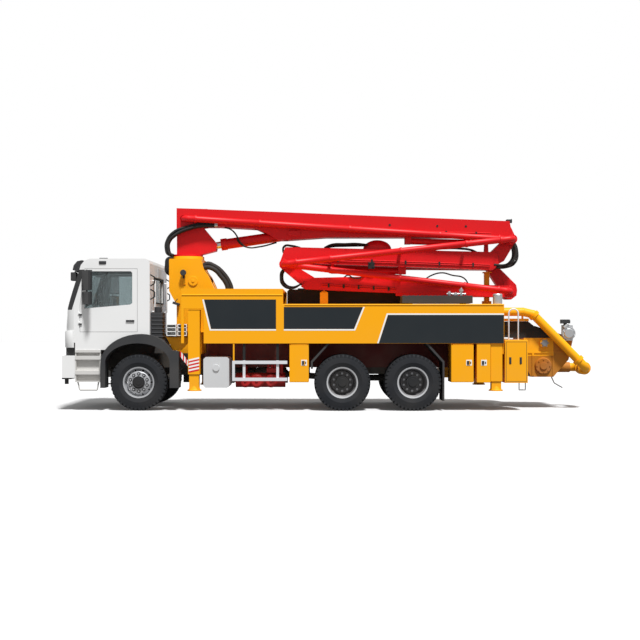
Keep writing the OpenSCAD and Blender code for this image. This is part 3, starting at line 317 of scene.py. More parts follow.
# Cab: pressed steel in white gloss, with dark plastic visor, mirrors and mudguards, grey steps
# and a hollow cabin with dashboard, wheel and two chairs behind bonded glass.
white_gloss = (0.78, 0.78, 0.775)
black_trim = (0.03, 0.031, 0.033)


def gloss_white(name, beyond=()):
    """White gloss paint; beyond all given planes it has the black of the trim."""
    return finish(name, white_gloss, 0.25, dust=0.08, gloss=0.4, second=black_trim if beyond else None,
                  beyond=beyond)


white = gloss_white("white_paint")
# the pillars beside the windscreen are black, from just under it to the visor
screen_plane = ((0.954, 0, 0.301), 5.305)
screen_foot = 1.93
visor_foot = 2.70
cab_white = gloss_white("cab_white", (screen_plane, ((0, 0, 1), screen_foot), ((0, 0, -1), -visor_foot)))
plastic = finish("grey_plastic", (0.036, 0.037, 0.040), 0.6, dust=0.12, grain=300, bump=0.3)
trim = finish("cabin_trim", (0.045, 0.045, 0.048), 0.8, dust=0.0, grain=400, bump=0.3)
step_grey = finish("step_grey", (0.60, 0.59, 0.57), 0.55, dust=0.15, grain=300, bump=0.2)
dress("cab_shell", cab_white, 0.012)
# the grille between bumper and apron is black
grille_foot = 1.052
grille_top = 1.204
bumper_white = gloss_white("bumper_white", (((0, 0, 1), grille_foot), ((0, 0, -1), -grille_top)))
dress("bumper", bumper_white, 0.012)
dress("cab_interior", trim, 0.02)
dress("cab_steps", step_grey, 0.006)
dress("fenders", plastic, 0.006)
dress("roof_items", plastic, 0.006)


def glass(name, tint, through=0.9):
    """Clear glass with a faint uneven tint."""
    material = bpy.data.materials.new(name)
    material.use_nodes = True
    tree = material.node_tree
    shader = tree.nodes["Principled BSDF"]
    shader.inputs["Roughness"].default_value = 0.03
    shader.inputs["Transmission Weight"].default_value = through
    shader.inputs["IOR"].default_value = 1.45
    haze = tree.nodes.new("ShaderNodeTexNoise")
    haze.inputs["Scale"].default_value = 3.0
    shade = tree.nodes.new("ShaderNodeMix")
    shade.data_type = "RGBA"
    shade.inputs[6].default_value = (*tint, 1)
    shade.inputs[7].default_value = (*(0.85 * c for c in tint), 1)
    place = tree.nodes.new("ShaderNodeTexCoord")
    tree.links.new(place.outputs["Object"], haze.inputs["Vector"])
    tree.links.new(haze.outputs["Fac"], shade.inputs[0])
    tree.links.new(shade.outputs[2], shader.inputs["Base Color"])
    return material


def add_prism(bm, corners, along):
    """Adds a flat outline of points, drawn out along a vector."""
    face = bm.faces.new([bm.verts.new(corner) for corner in corners])
    made = bmesh.ops.extrude_face_region(bm, geom=[face])
    moved = [v for v in made["geom"] if isinstance(v, bmesh.types.BMVert)]
    bmesh.ops.translate(bm, verts=moved, vec=along)


def add_plate(bm, outline, y0, y1):
    """Adds a plate with a side-view outline of (station, height) points from y0 to y1."""
    add_prism(bm, [(at(s), y0, z) for s, z in outline], (0, y1 - y0, 0))


def add_box(bm, s0, s1, y0, y1, z0, z1):
    """Adds a box between two stations, two sides and two heights."""
    add_plate(bm, [(s0, z0), (s1, z0), (s1, z1), (s0, z1)], y0, y1)


window = glass("window_glass", (0.52, 0.60, 0.61))
lamp_glass = glass("lamp_glass", (0.85, 0.88, 0.92), 0.5)
mirror = finish("mirror_face", (0.8, 0.81, 0.82), 0.03, metallic=1.0, dust=0.0, bump=0.0)
dress("cab_glass", window)
dress("headlamps", lamp_glass)
window_outline = [(-1.042, 1.955), (-0.955, 2.668), (-0.150, 2.668), (-0.122, 2.640),
                  (-0.122, 2.060), (-0.160, 2.030)]
mirror_outline = ((-0.997, 1.200), (-0.850, 1.364), (-0.848, 1.362), (-0.995, 1.198))
door_trim_y = 1.152
for side, sign in sides:
    dress(f"door_{side}", gloss_white(f"door_white_{side}", (((0, sign, 0), door_trim_y),)), 0.008)
    bm = bmesh.new()
    add_plate(bm, window_outline, sign * 1.114, sign * 1.120)
    piece(f"door_pane_{side}", bm, window, f"door_{side}")
    bm = bmesh.new()
    for z0, z1 in ((2.320, 2.660), (2.050, 2.250)):
        add_prism(bm, [(at(s), sign * y, z0) for s, y in mirror_outline], (0, 0, z1 - z0))
    piece(f"mirror_faces_{side}", bm, mirror, f"door_{side}")
    # marker lamp on the shoulder of the roof
    bm = bmesh.new()
    add_box(bm, -0.760, -0.620, sign * 1.130, sign * 1.166, 2.805, 2.865)
    piece(f"marker_lamp_{side}", bm, plastic, "truck", 0.012)

# Air vessels and valve bank: on each side three pressed steel vessels behind the guard, their domed
# ends outward, and a red valve block with an upright, all bolted to brackets on the frame.
vessel_red = finish("vessel_red", (0.40, 0.014, 0.014), 0.38, dust=0.12)
vessel_z = 0.560
block_top = 0.800
for side, sign in sides:
    bm = bmesh.new()
    for s, radius in ((2.030, 0.130), (2.250, 0.140), (2.530, 0.130)):
        add_pin(bm, (s, vessel_z), sign * 0.700, sign * 0.930, radius, 48)
        add_pin(bm, (s, vessel_z), sign * 0.930, sign * 0.965, radius, 48, 0.75 * radius)
        add_pin(bm, (s, vessel_z), sign * 0.965, sign * 0.980, 0.030, 24)
    piece(f"air_vessels_{side}", bm, vessel_red, "truck", 0.008)
    bm = bmesh.new()
    add_box(bm, 2.440, 2.700, sign * 0.800, sign * 0.900, 0.715, block_top)
    for k in range(4):
        spot = (2.475 + 0.063 * k, sign * 0.850)
        add_rod(bm, (*spot, block_top), (*spot, block_top + 0.070), 0.024, 24)
        add_rod(bm, (*spot, block_top + 0.070), (*spot, block_top + 0.105), 0.012, 16)
    add_box(bm, 2.700, 2.755, sign * 0.800, sign * 0.860, 0.640, 0.930)
    piece(f"valve_bank_{side}", bm, vessel_red, "truck", 0.005)

# Oil pumps: black cast iron pump bodies with flanges, in a row under each frame rail and driven
# from the gearbox; each hangs on a block that is bolted to the rail.
pump_z = 0.695
for side, sign in sides:
    pump_y = sign * 0.265
    bm = bmesh.new()
    for s0, s1, radius in ((1.900, 2.160, 0.085), (2.190, 2.450, 0.085), (2.480, 2.790, 0.075)):
        add_rod(bm, (s0, pump_y, pump_z), (s1, pump_y, pump_z), radius, 32)
        add_rod(bm, (s0, pump_y, pump_z), (s0 + 0.022, pump_y, pump_z), 0.102, 32)
        add_box(bm, s0 + 0.070, s1 - 0.070, sign * 0.225, sign * 0.305, 0.760, 0.797)
    piece(f"oil_pumps_{side}", bm, cast_black, "truck", 0.004)

# Subframe gussets: dark red plates that tie the pedestal's housings to the frame behind them.
# They are welded on top of the rails.
for side, sign in sides:
    bm = bmesh.new()
    add_box(bm, 1.225, 1.479, sign * 0.325, sign * 0.399, 1.0805, 1.320)
    piece(f"subframe_gusset_{side}", bm, frame_red, "truck", 0.004)

# Wipers: two black steel arms with rubber blades, on spindles below the windscreen. They are
# parked along its lower edge.
rubber = finish("black_rubber", (0.016, 0.016, 0.017), 0.62, dust=0.15, grain=300, bump=0.3)
bm = bmesh.new()
for y in (0.75, -0.15):
    add_rod(bm, (-1.375, y, 1.985), (-1.352, y - 0.55, 2.060), 0.010)
    add_rod(bm, (-1.372, y - 0.10, 2.012), (-1.350, y - 0.72, 2.080), 0.008)
piece("wipers", bm, rubber, "truck")

# Front trim: black plastic louvres between the head lamps, a black lower lip, a deep lip on the
# visor, and the small mirror that hangs from it over the left corner of the windscreen.
louvre_pitch = 0.045
bm = bmesh.new()
for k in range(5):
    z = 0.745 + louvre_pitch * k
    add_box(bm, -1.482, -1.470, -0.640, 0.640, z, z + 0.023)
add_box(bm, -1.478, -1.300, -1.120, 1.120, 0.600, 0.628)
for y0, y1 in ((0.655, 0.690), (-0.690, -0.655)):
    add_box(bm, -1.482, -1.470, y0, y1, 0.735, 0.955)
for y in (-1.000, 0.940):
    add_box(bm, -1.450, -1.385, y, y + 0.060, 0.500, 0.610)
piece("bumper_louvres", bm, plastic, "truck", 0.003)
bm = bmesh.new()
add_plate(bm, [(-1.230, 2.6905), (-1.285, 2.695), (-1.262, 2.790), (-1.195, 2.868), (-1.100, 2.888),
               (-1.090, 2.8815), (-1.172, 2.8015)], -1.070, 1.070)
piece("visor_lip", bm, plastic, "truck", 0.010)
bm = bmesh.new()
add_box(bm, -1.320, -1.215, 0.900, 1.080, 2.490, 2.655)
add_rod(bm, (-1.265, 0.990, 2.650), (-1.200, 0.980, 2.700), 0.014)
piece("front_mirror", bm, plastic, "truck", 0.020)

# Gear behind the cab: a white slotted rack for hose ends on a yellow bracket, both on the
# outrigger housing, and on the cab's rear wall a window seal, a grey sheet of painted shade, grab
# bars and the ribbed plastic air filter.
bright_yellow = (0.90, 0.383, 0.0005)
yellow = finish("yellow_paint", bright_yellow, 0.42, dust=0.08)
for side, sign in sides:
    bm = bmesh.new()
    for s0, s1 in ((0.535, 0.725), (0.745, 0.925)):
        add_box(bm, s0, s1, sign * 0.985, sign * 1.005, 1.430, 1.655)
        for z in (1.430, 1.505, 1.580, 1.640):
            add_box(bm, s0, s1, sign * 1.005, sign * 1.175, z, z + 0.015)
        for s in (s0, s1 - 0.015):
            add_box(bm, s, s + 0.015, sign * 1.005, sign * 1.175, 1.445, 1.640)
    piece(f"hose_rack_{side}", bm, white, "truck", 0.003)
    bm = bmesh.new()
    add_plate(bm, [(0.50, 1.425), (0.94, 1.425), (0.94, 1.300), (0.80, 1.150), (0.64, 1.150)],
              sign * 0.985, sign * 1.010)
    add_box(bm, 0.50, 0.94, sign * 0.86, sign * 1.010, 1.400, 1.425)
    piece(f"rack_bracket_{side}", bm, yellow, "truck", 0.004)
bm = bmesh.new()
for y0, y1, z0, z1 in ((-0.65, 0.65, 2.55, 2.58), (-0.65, 0.65, 2.06, 2.09),
                       (-0.65, -0.61, 2.09, 2.55), (0.61, 0.65, 2.09, 2.55)):
    add_box(bm, 0.212, 0.222, y0, y1, z0, z1)
piece("rear_window_seal", bm, rubber, "truck", 0.003)
# grey sheet on the far half of the rear wall, beside the window: painted shade, tinted blue to offset the
# warm light bounced onto the wall
wall_painted_shade = finish("wall_painted_shade", (0.64, 0.72, 0.80), 0.6, dust=0.2, grain=300, bump=0.2)
bm = bmesh.new()
for y0, y1, z0, z1 in ((-1.080, 0.100, 1.400, 2.050), (-1.080, -0.655, 2.050, 2.780),
                       (-0.655, 0.100, 2.590, 2.780)):
    add_box(bm, 0.2115, 0.2165, y0, y1, z0, z1)
piece("rear_wall_shade_sheet", bm, wall_painted_shade, "truck", 0.002)
# grab bars on the rear corners
bm = bmesh.new()
for side, sign in sides:
    for z0, z1 in ((2.130, 2.330), (2.390, 2.610)):
        y = sign * 1.040
        bends = ((0.205, y, z0), (0.290, y, z0 + 0.050), (0.290, y, z1 - 0.050), (0.205, y, z1))
        for start, end in zip(bends, bends[1:]):
            add_rod(bm, start, end, 0.012)
piece("grab_bars", bm, rubber, "truck")
# air filter in its ribbed case, with the intake on top
rib_pitch = 0.075
bm = bmesh.new()
add_box(bm, 0.214, 0.440, 0.700, 1.020, 1.340, 1.880)
for k in range(6):
    z = 1.400 + rib_pitch * k
    add_box(bm, 0.225, 0.450, 0.690, 1.030, z, z + 0.025)
add_rod(bm, (0.330, 0.860, 1.880), (0.330, 0.860, 1.990), 0.070, 32)
piece("air_filter", bm, plastic, "truck", 0.012)

# Body: folded sheet steel in yellow gloss over cross bearers on the frame, with the pedestal
# and its outrigger housings in front, the tool boxes below and the boom rest at the rear.
for name in ("pedestal", "side_bodies", "deck", "bearers", "boom_rest", "tool_boxes"):
    dress(name, yellow, 0.006)
dress("water_tank", plastic, 0.020)
slate = finish("slate_film", (0.013, 0.018, 0.022), 0.5, dust=0.03)
white_film = finish("white_film", (0.82, 0.82, 0.80), 0.4, dust=0.05)
panels = (
    [(1.264, 2.125), (2.636, 2.125), (2.636, 1.563), (1.398, 1.563)],
    [(2.785, 1.982), (4.293, 1.982), (4.122, 1.563), (2.785, 1.563)],
    [(4.769, 1.830), (6.979, 1.830), (6.979, 1.292), (4.595, 1.292)],
)
borders = (
    [(1.230, 2.125), (1.262, 2.125), (1.396, 1.561), (2.636, 1.561), (2.636, 1.533), (1.372, 1.533)],
    [(4.295, 1.982), (4.327, 1.982), (4.146, 1.533), (2.785, 1.533), (2.785, 1.561), (4.124, 1.561)],
    [(4.563, 1.292), (4.593, 1.292), (4.767, 1.832), (6.979, 1.832), (6.979, 1.860), (4.745, 1.860)],
)
body_half = 1.250
films = (("slate_panels", panels, 0.0015, slate, "grey_plastic"),
         ("panel_borders", borders, 0.0018, white_film, "white_paint"))
for side, sign in sides:
    for name, outlines, height, material, slot in films:
        bm = bmesh.new()
        for outline in outlines:
            add_plate(bm, outline, sign * (body_half - 0.001), sign * (body_half + height))
        piece(f"{name}_{side}", bm, material, "truck")
    bm = bmesh.new()
    # rolled lips along the top folds of both sections
    for s0, s1, z in ((0.84, 2.76, 2.212), (2.80, 6.97, 2.024)):
        add_rod(bm, (s0, sign * body_half, z), (s1, sign * body_half, z), 0.012, 12)
    # thin strut from the body down to the side guard
    add_box(bm, 1.815, 1.843, sign * 1.2215, sign * 1.2435, 0.9585, 1.2865)
    piece(f"fold_lips_{side}", bm, yellow, "truck")

# Lids and latches: the tool box lids hang on hinge bars and close with black paddle latches
# set in pressed cups; the control box and the rear column carry the same latches.
steel = finish("bare_steel", (0.30, 0.30, 0.31), 0.42, metallic=0.8, dust=0.25)
column = 6.600


def add_cup(name, s, y0, y1, body):
    """Makes the pale cup of a latch round a station."""
    bm = bmesh.new()
    add_box(bm, s - 0.055, s + 0.055, y0, y1, 0.865, 0.975)
    piece(name, bm, white_film, body, 0.002)


def add_paddle(bm, s, sign, y):
    """Adds the paddle and the lock of a latch on its cup."""
    add_box(bm, s - 0.040, s + 0.005, sign * y, sign * (y + 0.012), 0.885, 0.955)
    add_box(bm, s + 0.018, s + 0.040, sign * y, sign * (y + 0.006), 0.900, 0.940)


for side, sign in sides:
    for lid, s in (("front_lid", 3.17), ("rear_lid", 6.315)):
        dress(f"{lid}_{side}", yellow, 0.004)
        add_cup(f"{lid}_cup_{side}", s, sign * 1.243, sign * 1.247, f"{lid}_{side}")
        bm = bmesh.new()
        add_paddle(bm, s, sign, 1.247)
        piece(f"{lid}_latch_{side}", bm, plastic, f"{lid}_{side}", 0.003)
    add_cup(f"column_cup_{side}", column, sign * 1.238, sign * 1.243, "truck")
    bm = bmesh.new()
    add_paddle(bm, column, sign, 1.243)
    for s in (7.10, 7.30):
        add_box(bm, s - 0.022, s + 0.022, sign * 1.248, sign * 1.254, 0.895, 1.025)
        add_box(bm, s - 0.012, s + 0.012, sign * 1.254, sign * 1.266, 0.910, 1.010)
    piece(f"box_latches_{side}", bm, plastic, "truck", 0.003)
    # shut lines of the control box door
    bm = bmesh.new()
    for s0, s1, z0, z1 in ((7.020, 7.028, 0.560, 1.320), (7.408, 7.416, 0.560, 1.320),
                           (7.020, 7.416, 0.560, 0.568), (7.020, 7.416, 1.312, 1.320)):
        add_box(bm, s0, s1, sign * 1.249, sign * 1.2505, z0, z1)
    piece(f"box_shut_lines_{side}", bm, rubber, "truck")

# Deck gear: a yellow valve block, a flat grey oil cooler with bright fittings and an aluminium
# grease can near the rear edge, all bolted to the deck plate.
deck_top = 2.040
bm = bmesh.new()
add_box(bm, 3.474, 3.635, -0.11, 0.11, deck_top, 2.300)
add_box(bm, 3.500, 3.610, -0.08, 0.08, 2.300, 2.322)
for y in (-0.05, 0.05):
    add_rod(bm, (3.555, y, 2.322), (3.555, y, 2.345), 0.018)
piece("valve_block", bm, yellow, "truck", 0.006)
fin_pitch = 0.085
cooler_top = 2.205
bm = bmesh.new()
add_box(bm, 5.060, 6.420, 0.40, 1.00, 2.060, cooler_top)
for s in (5.20, 6.24):
    add_box(bm, s, s + 0.06, 0.43, 0.97, 2.038, 2.062)
for k in range(15):
    s = 5.10 + fin_pitch * k
    add_box(bm, s, s + 0.03, 0.45, 0.95, cooler_top, cooler_top + 0.010)
piece("oil_cooler", bm, plastic, "truck", 0.008)
bm = bmesh.new()
for s, top in ((5.98, 2.290), (6.10, 2.270), (6.21, 2.345)):
    add_rod(bm, (s, 0.900, cooler_top), (s, 0.900, top), 0.026)
    add_rod(bm, (s, 0.900, top - 0.055), (s, 0.900, top - 0.020), 0.046, 6)
add_rod(bm, (5.93, 0.900, 2.240), (6.30, 0.900, 2.240), 0.018)
add_pin(bm, (6.21, 2.345), 0.860, 0.940, 0.014)
piece("cooler_fittings", bm, alloy, "truck", 0.003)
can = (6.885, 1.080)
bm = bmesh.new()
add_rod(bm, (*can, deck_top), (*can, 2.215), 0.090, 40)
add_rod(bm, (*can, 2.215), (*can, 2.240), 0.094, 40, 0.080)
piece("grease_can", bm, alloy, "truck", 0.004)

# Pedestal fittings: a round black work lamp high on the tower and a flat one at its foot, both on
# bolted brackets, and yellow steel covers over the grease points on the tower's side.
lamp = (0.775, 2.672)
bm = bmesh.new()
add_pin(bm, lamp, 0.460, 0.530, 0.045, 32, 0.062)
add_pin(bm, lamp, 0.530, 0.545, 0.062, 32, 0.056)
add_box(bm, 0.760, 0.790, 0.428, 0.465, 2.560, 2.690)
piece("tower_lamp", bm, plastic, "truck", 0.004)
bm = bmesh.new()
add_plate(bm, [(0.560, 2.060), (0.690, 2.020), (0.705, 2.065), (0.575, 2.105)], 0.430, 0.540)
add_rod(bm, (0.600, 0.480, 2.085), (0.660, 0.480, 2.160), 0.008)
piece("foot_lamp", bm, plastic, "truck", 0.006)
cover = (0.960, 2.510)
bm = bmesh.new()
add_box(bm, 0.755, 0.815, 0.429, 0.445, 2.440, 2.530)
add_pin(bm, cover, 0.428, 0.450, 0.095, 40)
add_pin(bm, cover, 0.450, 0.462, 0.030, 6)
piece("tower_covers", bm, yellow, "truck", 0.004)

# Pump end: welded steel hopper with a lifting grate, a rubber splash guard, the two pumping
# cylinders over the frame and the yellow concrete line rising from the outlet to the deck.
dress("delivery_pipe", yellow, 0.005)
# painted shade: the hopper is dark orange-brown with road dust on its recessed walls and curved bottom,
# and bright yellow only on the shoulder ahead of the agitator, above a hard painted shadow line
shoulder_foot = 1.035
shoulder_end = 8.060
hopper_painted_shade = finish("hopper_painted_shade", (0.46, 0.165, 0.002), 0.5, dust=0.2, second=bright_yellow,
                      beyond=(((0, 0, 1), shoulder_foot), ((1, 0, 0), at(shoulder_end))))
dress("hopper", hopper_painted_shade, 0.005)
dress("hopper_grate", steel)
dress("pump_unit", steel)
dress("splash_guard", rubber)
shaft = (7.880, 1.285)
bm = bmesh.new()
for side, sign in sides:
    add_pin(bm, shaft, sign * 0.655, sign * 0.676, 0.062, 32)
    add_bolts(bm, shaft, 6, 0.075, sign * 0.655, sign * 0.672, 0.012)
piece("agitator_caps", bm, steel, "truck", 0.003)
motor = (8.345, 1.475)
hopper_wall = 0.6005
bm = bmesh.new()
add_box(bm, 8.215, 8.440, hopper_wall, 0.612, 1.330, 1.640)
add_pin(bm, motor, 0.612, 0.690, 0.130, 40)
add_pin(bm, motor, 0.690, 0.725, 0.100, 40, 0.085)
add_rod(bm, (8.265, 0.655, 1.580), (8.335, 0.655, 1.655), 0.050, 32)
add_bolts(bm, motor, 8, 0.113, 0.690, 0.702, 0.011, turn=22)
piece("agitator_motor", bm, alloy, "truck", 0.003)
bm = bmesh.new()
add_box(bm, 8.190, 8.350, 0.604, 0.700, 1.668, 1.748)
add_rod(bm, (8.350, 0.655, 1.708), (8.375, 0.655, 1.708), 0.038, 32)
add_box(bm, 8.250, 8.290, 0.630, 0.680, 1.630, 1.670)
piece("hopper_lamp", bm, plastic, "truck", 0.006)
# housing of the swivel valve, low on the side walls, in a dusty dark yellow that is painted shade
painted_shade_yellow = finish("painted_shade_yellow", (0.40, 0.13, 0.004), 0.6, dust=0.35, grain=60, bump=0.3)
valve = (7.860, 0.835)
for side, sign in sides:
    bm = bmesh.new()
    add_pin(bm, valve, sign * 0.599, sign * 0.640, 0.172, 48, 0.150)
    add_pin(bm, valve, sign * 0.640, sign * 0.662, 0.070, 32)
    add_bolts(bm, valve, 8, 0.125, sign * 0.638, sign * 0.652, 0.013)
    piece(f"valve_housing_{side}", bm, painted_shade_yellow, "truck", 0.004)
# rubber curtain between the splash guard and the pipe rest
bm = bmesh.new()
for side, sign in sides:
    add_plate(bm, [(7.185, 1.560), (7.185, 1.714), (7.560, 1.714), (7.690, 1.610), (7.690, 1.560)],
              sign * hopper_wall, sign * 0.608)
piece("splash_curtain", bm, rubber, "truck")
# heavy clamped bend round the outlet, where the line leaves the hopper
outlet = (8.690, 0.790)
bm = bmesh.new()
for y0, y1, radius in ((0.215, 0.545, 0.105), (0.225, 0.285, 0.130), (0.400, 0.530, 0.128)):
    add_pin(bm, outlet, y0, y1, radius, 40)
piece("outlet_bend", bm, yellow, "truck", 0.012)
red_lens = glass("red_lens", (0.75, 0.02, 0.02), 0.35)
for side, sign in sides:
    bm = bmesh.new()
    add_box(bm, 7.430, 7.448, sign * 0.800, sign * 1.150, 0.860, 1.000)
    piece(f"tail_lamp_{side}", bm, red_lens, "truck", 0.006)

# Pipe rest and tail gear: a yellow steel bar under the level run of the concrete line, and in bare
# steel a small step under the control box and the hand lever of the hopper flap.
bm = bmesh.new()
add_box(bm, 6.985, 7.560, 0.640, 0.690, 1.715, 1.765)
add_rod(bm, (7.440, 0.665, 1.765), (7.440, 0.665, 1.830), 0.020)
piece("pipe_rest", bm, yellow, "truck", 0.004)
bm = bmesh.new()
for s in (7.280, 7.400):
    add_rod(bm, (s, 1.180, 0.540), (s, 1.180, 0.400), 0.010)
add_rod(bm, (7.275, 1.180, 0.400), (7.405, 1.180, 0.400), 0.012)
add_rod(bm, (8.020, 0.560, 0.640), (8.080, 0.590, 0.500), 0.012)
add_rod(bm, (8.080, 0.590, 0.500), (8.240, 0.590, 0.410), 0.012)
piece("step_and_lever", bm, steel, "truck")

# Outriggers: square steel tubes in yellow with a flared foot under each jack. Red and white film
# bands are stuck on the front leg tubes and on a bow ahead of each of them.
band_red = finish("band_red", (0.62, 0.02, 0.02), 0.4, dust=0.1)
bands = (("red", band_red, 0, "red_paint"), ("white", white_film, 1, "white_paint"))
leg_bands = 8
bow_bands = 6
band_height = 0.032
band_rise = 0.045
bow_height = 0.110
for side, sign in sides:
    for name in ("front_beam", "front_leg", "rear_leg"):
        dress(f"{name}_{side}", yellow, 0.005)
    for tone, material, first, slot in bands:
        bm = bmesh.new()
        for k in range(first, leg_bands, 2):
            z = 0.725 + band_height * k
            outline = [(0.968, z), (1.168, z + band_rise), (1.168, z + band_rise + band_height),
                       (0.968, z + band_height)]
            add_plate(bm, outline, sign * 1.229, sign * 1.2315)
        for k in range(first, bow_bands, 2):
            shares = (k / bow_bands, (k + 1) / bow_bands)
            (s0, z0), (s1, z1) = [(0.800 + 0.158 * u, 1.150 - 0.200 * u) for u in shares]
            outline = [(s0, z0), (s1, z1), (s1, z1 - bow_height), (s0, z0 - bow_height)]
            add_plate(bm, outline, sign * 1.190, sign * 1.205)
        piece(f"leg_bands_{tone}_{side}", bm, material, f"front_beam_{side}")

# Boom: four welded box sections in red gloss, folded over each other on the slewing head,
# with the lift cylinder under the first arm and its chromed rod.
red = finish("red_paint", (0.64, 0.006, 0.010), 0.36, dust=0.05)
for name in ("turret", "arm1", "arm2", "arm3", "arm4", "lift_barrel"):
    dress(name, red, 0.006)
dress("lift_rod", finish("chrome_rod", (0.75, 0.75, 0.77), 0.12, metallic=1.0, dust=0.0))
# domed cover on top of the second arm
bm = bmesh.new()
bmesh.ops.create_uvsphere(bm, u_segments=40, v_segments=20, radius=1.0)
bmesh.ops.scale(bm, vec=(0.285, 0.150, 0.190), verts=bm.verts)
bmesh.ops.translate(bm, vec=(at(4.630), 0, 3.165), verts=bm.verts)
piece("arm_dome", bm, red, "arm2")
hinge_a = (0.745, 3.769)
hinge_b = (7.2993, 3.3452)
hinge_c = (2.7573, 2.8494)
hinge_d = (7.2808, 2.3148)
# bolted caps on the hinge pins, at hinge a on its right only, and clamps on the swivel elbows
for name, (s, z), half, radius, body, faces in (("a", hinge_a, 0.200, 0.105, "arm1", (-1,)),
                                                ("b", hinge_b, 0.200, 0.090, "arm1", (-1, 1)),
                                                ("c", hinge_c, 0.170, 0.085, "arm2", (-1, 1))):
    bm = bmesh.new()
    for sign in faces:
        add_pin(bm, (s, z), sign * half, sign * (half + 0.016), radius, 40)
        add_bolts(bm, (s, z), 6, 0.7 * radius, sign * (half + 0.014), sign * (half + 0.026), 0.011)
    piece(f"pin_caps_{name}", bm, red, body, 0.002)
for name, (s, z), y, body in (("b", hinge_b, 0.392, "arm1"), ("c", hinge_c, 0.392, "arm3"),
                              ("d", hinge_d, 0.172, "arm3")):
    bm = bmesh.new()
    add_pin(bm, (s, z), y - 0.040, y - 0.002, 0.094, 40)
    add_box(bm, s - 0.018, s + 0.018, y - 0.036, y - 0.006, z + 0.088, z + 0.114)
    piece(f"pipe_coupling_{name}", bm, red, body, 0.003)
# junction box and plugged bosses on the side of the first arm, fold lever on top of the second
bm = bmesh.new()
add_box(bm, 2.830, 3.080, 0.199, 0.235, 3.420, 3.530)
piece("junction_box", bm, red, "arm1", 0.008)
bm = bmesh.new()
for spot in ((4.870, 3.642), (5.822, 3.622), (6.394, 3.616)):
    add_pin(bm, spot, 0.199, 0.206, 0.022)
piece("arm_plugs", bm, rubber, "arm1")
bm = bmesh.new()
for y in (-0.060, 0.040):
    add_plate(bm, [(6.785, 3.090), (6.870, 3.090), (6.862, 3.330), (6.800, 3.330)], y, y + 0.020)
add_pin(bm, (6.832, 3.290), -0.075, 0.075, 0.028)
piece("fold_lever", bm, red, "arm2", 0.003)
# steel oil lines along the arms with their clamp strips
line_pitch = 0.034
clamps = 5
for body, y, (s0, z0), (s1, z1) in (("arm1", 0.212, (3.900, 3.520), (6.900, 3.440)),
                                    ("arm2", 0.182, (3.500, 2.935), (6.880, 2.815)),
                                    ("arm3", 0.152, (3.500, 2.425), (5.000, 2.340))):
    bm = bmesh.new()
    for lift in (0.0, line_pitch):
        add_rod(bm, (s0, y, z0 + lift), (s1, y, z1 + lift), 0.011, 12)
    piece(f"{body}_lines", bm, red, body)
    bm = bmesh.new()
    for k in range(clamps):
        share = (k + 0.5) / clamps
        s = s0 + share * (s1 - s0)
        z = z0 + share * (z1 - z0)
        add_box(bm, s - 0.018, s + 0.018, y - 0.013, y + 0.014, z - 0.022, z + 0.056)
    piece(f"{body}_line_clamps", bm, rubber, body, 0.002)
# hose clamp on the second arm, tray under the third and work lamp at the tip of the first
bm = bmesh.new()
add_box(bm, 4.440, 4.565, 0.169, 0.235, 2.765, 2.900)
for spot in ((4.470, 2.870), (4.535, 2.800)):
    add_pin(bm, spot, 0.235, 0.245, 0.016, 6)
piece("hose_clamp", bm, rubber, "arm2", 0.004)
bm = bmesh.new()
add_plate(bm, [(5.000, 2.285), (6.500, 2.210), (6.500, 2.165), (5.000, 2.230)], -0.100, 0.100)
piece("belly_tray", bm, red, "arm3", 0.004)
bm = bmesh.new()
add_box(bm, 7.235, 7.335, -0.060, 0.060, 3.700, 3.770)
add_rod(bm, (7.335, 0, 3.740), (7.350, 0, 3.740), 0.045, 24)
piece("boom_lamp", bm, plastic, "arm1", 0.008)


# Hoses: bundles of black rubber hydraulic hose, clamped on both sides of each hinge with slack
# round it, and three thick ones from the tower down to the deck.
def hose(name, route, radius, bodies, turn_from=None):
    """A tube along a route of (station, y, height) points, riding on the first body; given turn_from, it
    stays in place on no body.
    """
    curve = bpy.data.curves.new(name, "CURVE")
    curve.dimensions = "3D"
    curve.bevel_depth = radius
    curve.bevel_resolution = 4
    curve.use_fill_caps = True
    line = curve.splines.new("BEZIER")
    line.bezier_points.add(len(route) - 1)
    line.resolution_u = 10
    for knot, (s, y, z) in zip(line.bezier_points, route):
        knot.co = (at(s), y, z)
        knot.handle_left_type = "AUTO"
        knot.handle_right_type = "AUTO"
    shape = bpy.data.objects.new(name + ".route", curve)
    scene.collection.objects.link(shape)
    mesh = bpy.data.meshes.new_from_object(shape.evaluated_get(bpy.context.evaluated_depsgraph_get()))
    bpy.data.objects.remove(shape)
    mesh.materials.clear()
    mesh.materials.append(rubber)
    obj = bpy.data.objects.new(name, mesh)
    scene.collection.objects.link(obj)
    if turn_from:
        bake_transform(obj)
    else:
        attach(obj, bodies[0])


for k, y in enumerate((-0.16, -0.08, 0.08, 0.16)):
    out = 0.022 * (k % 3)
    route = [(6.75, y, 3.400), (7.05, y, 3.395), (7.300 + out, y, 3.330), (7.400 + out, y, 3.120),
             (7.350 + out, y, 2.935 - out), (7.200, y, 2.845 - out), (6.960, y, 2.850 - out)]
    hose(f"hinge_hose_b{k}", route, 0.024, ("arm1", "arm2"), (7.33, y, 3.28))
for k, y in enumerate((-0.10, 0.0, 0.10)):
    out = 0.018 * k
    route = [(3.35, y, 2.880), (3.05, y, 2.820), (2.760 - out, y, 2.745), (2.715 - out, y, 2.600),
             (2.765 - out, y, 2.476 - out), (2.911, y, 2.410 - out), (3.100, y, 2.470)]
    hose(f"hinge_hose_c{k}", route, 0.018, ("arm2", "arm3"), (2.73, y, 2.72))
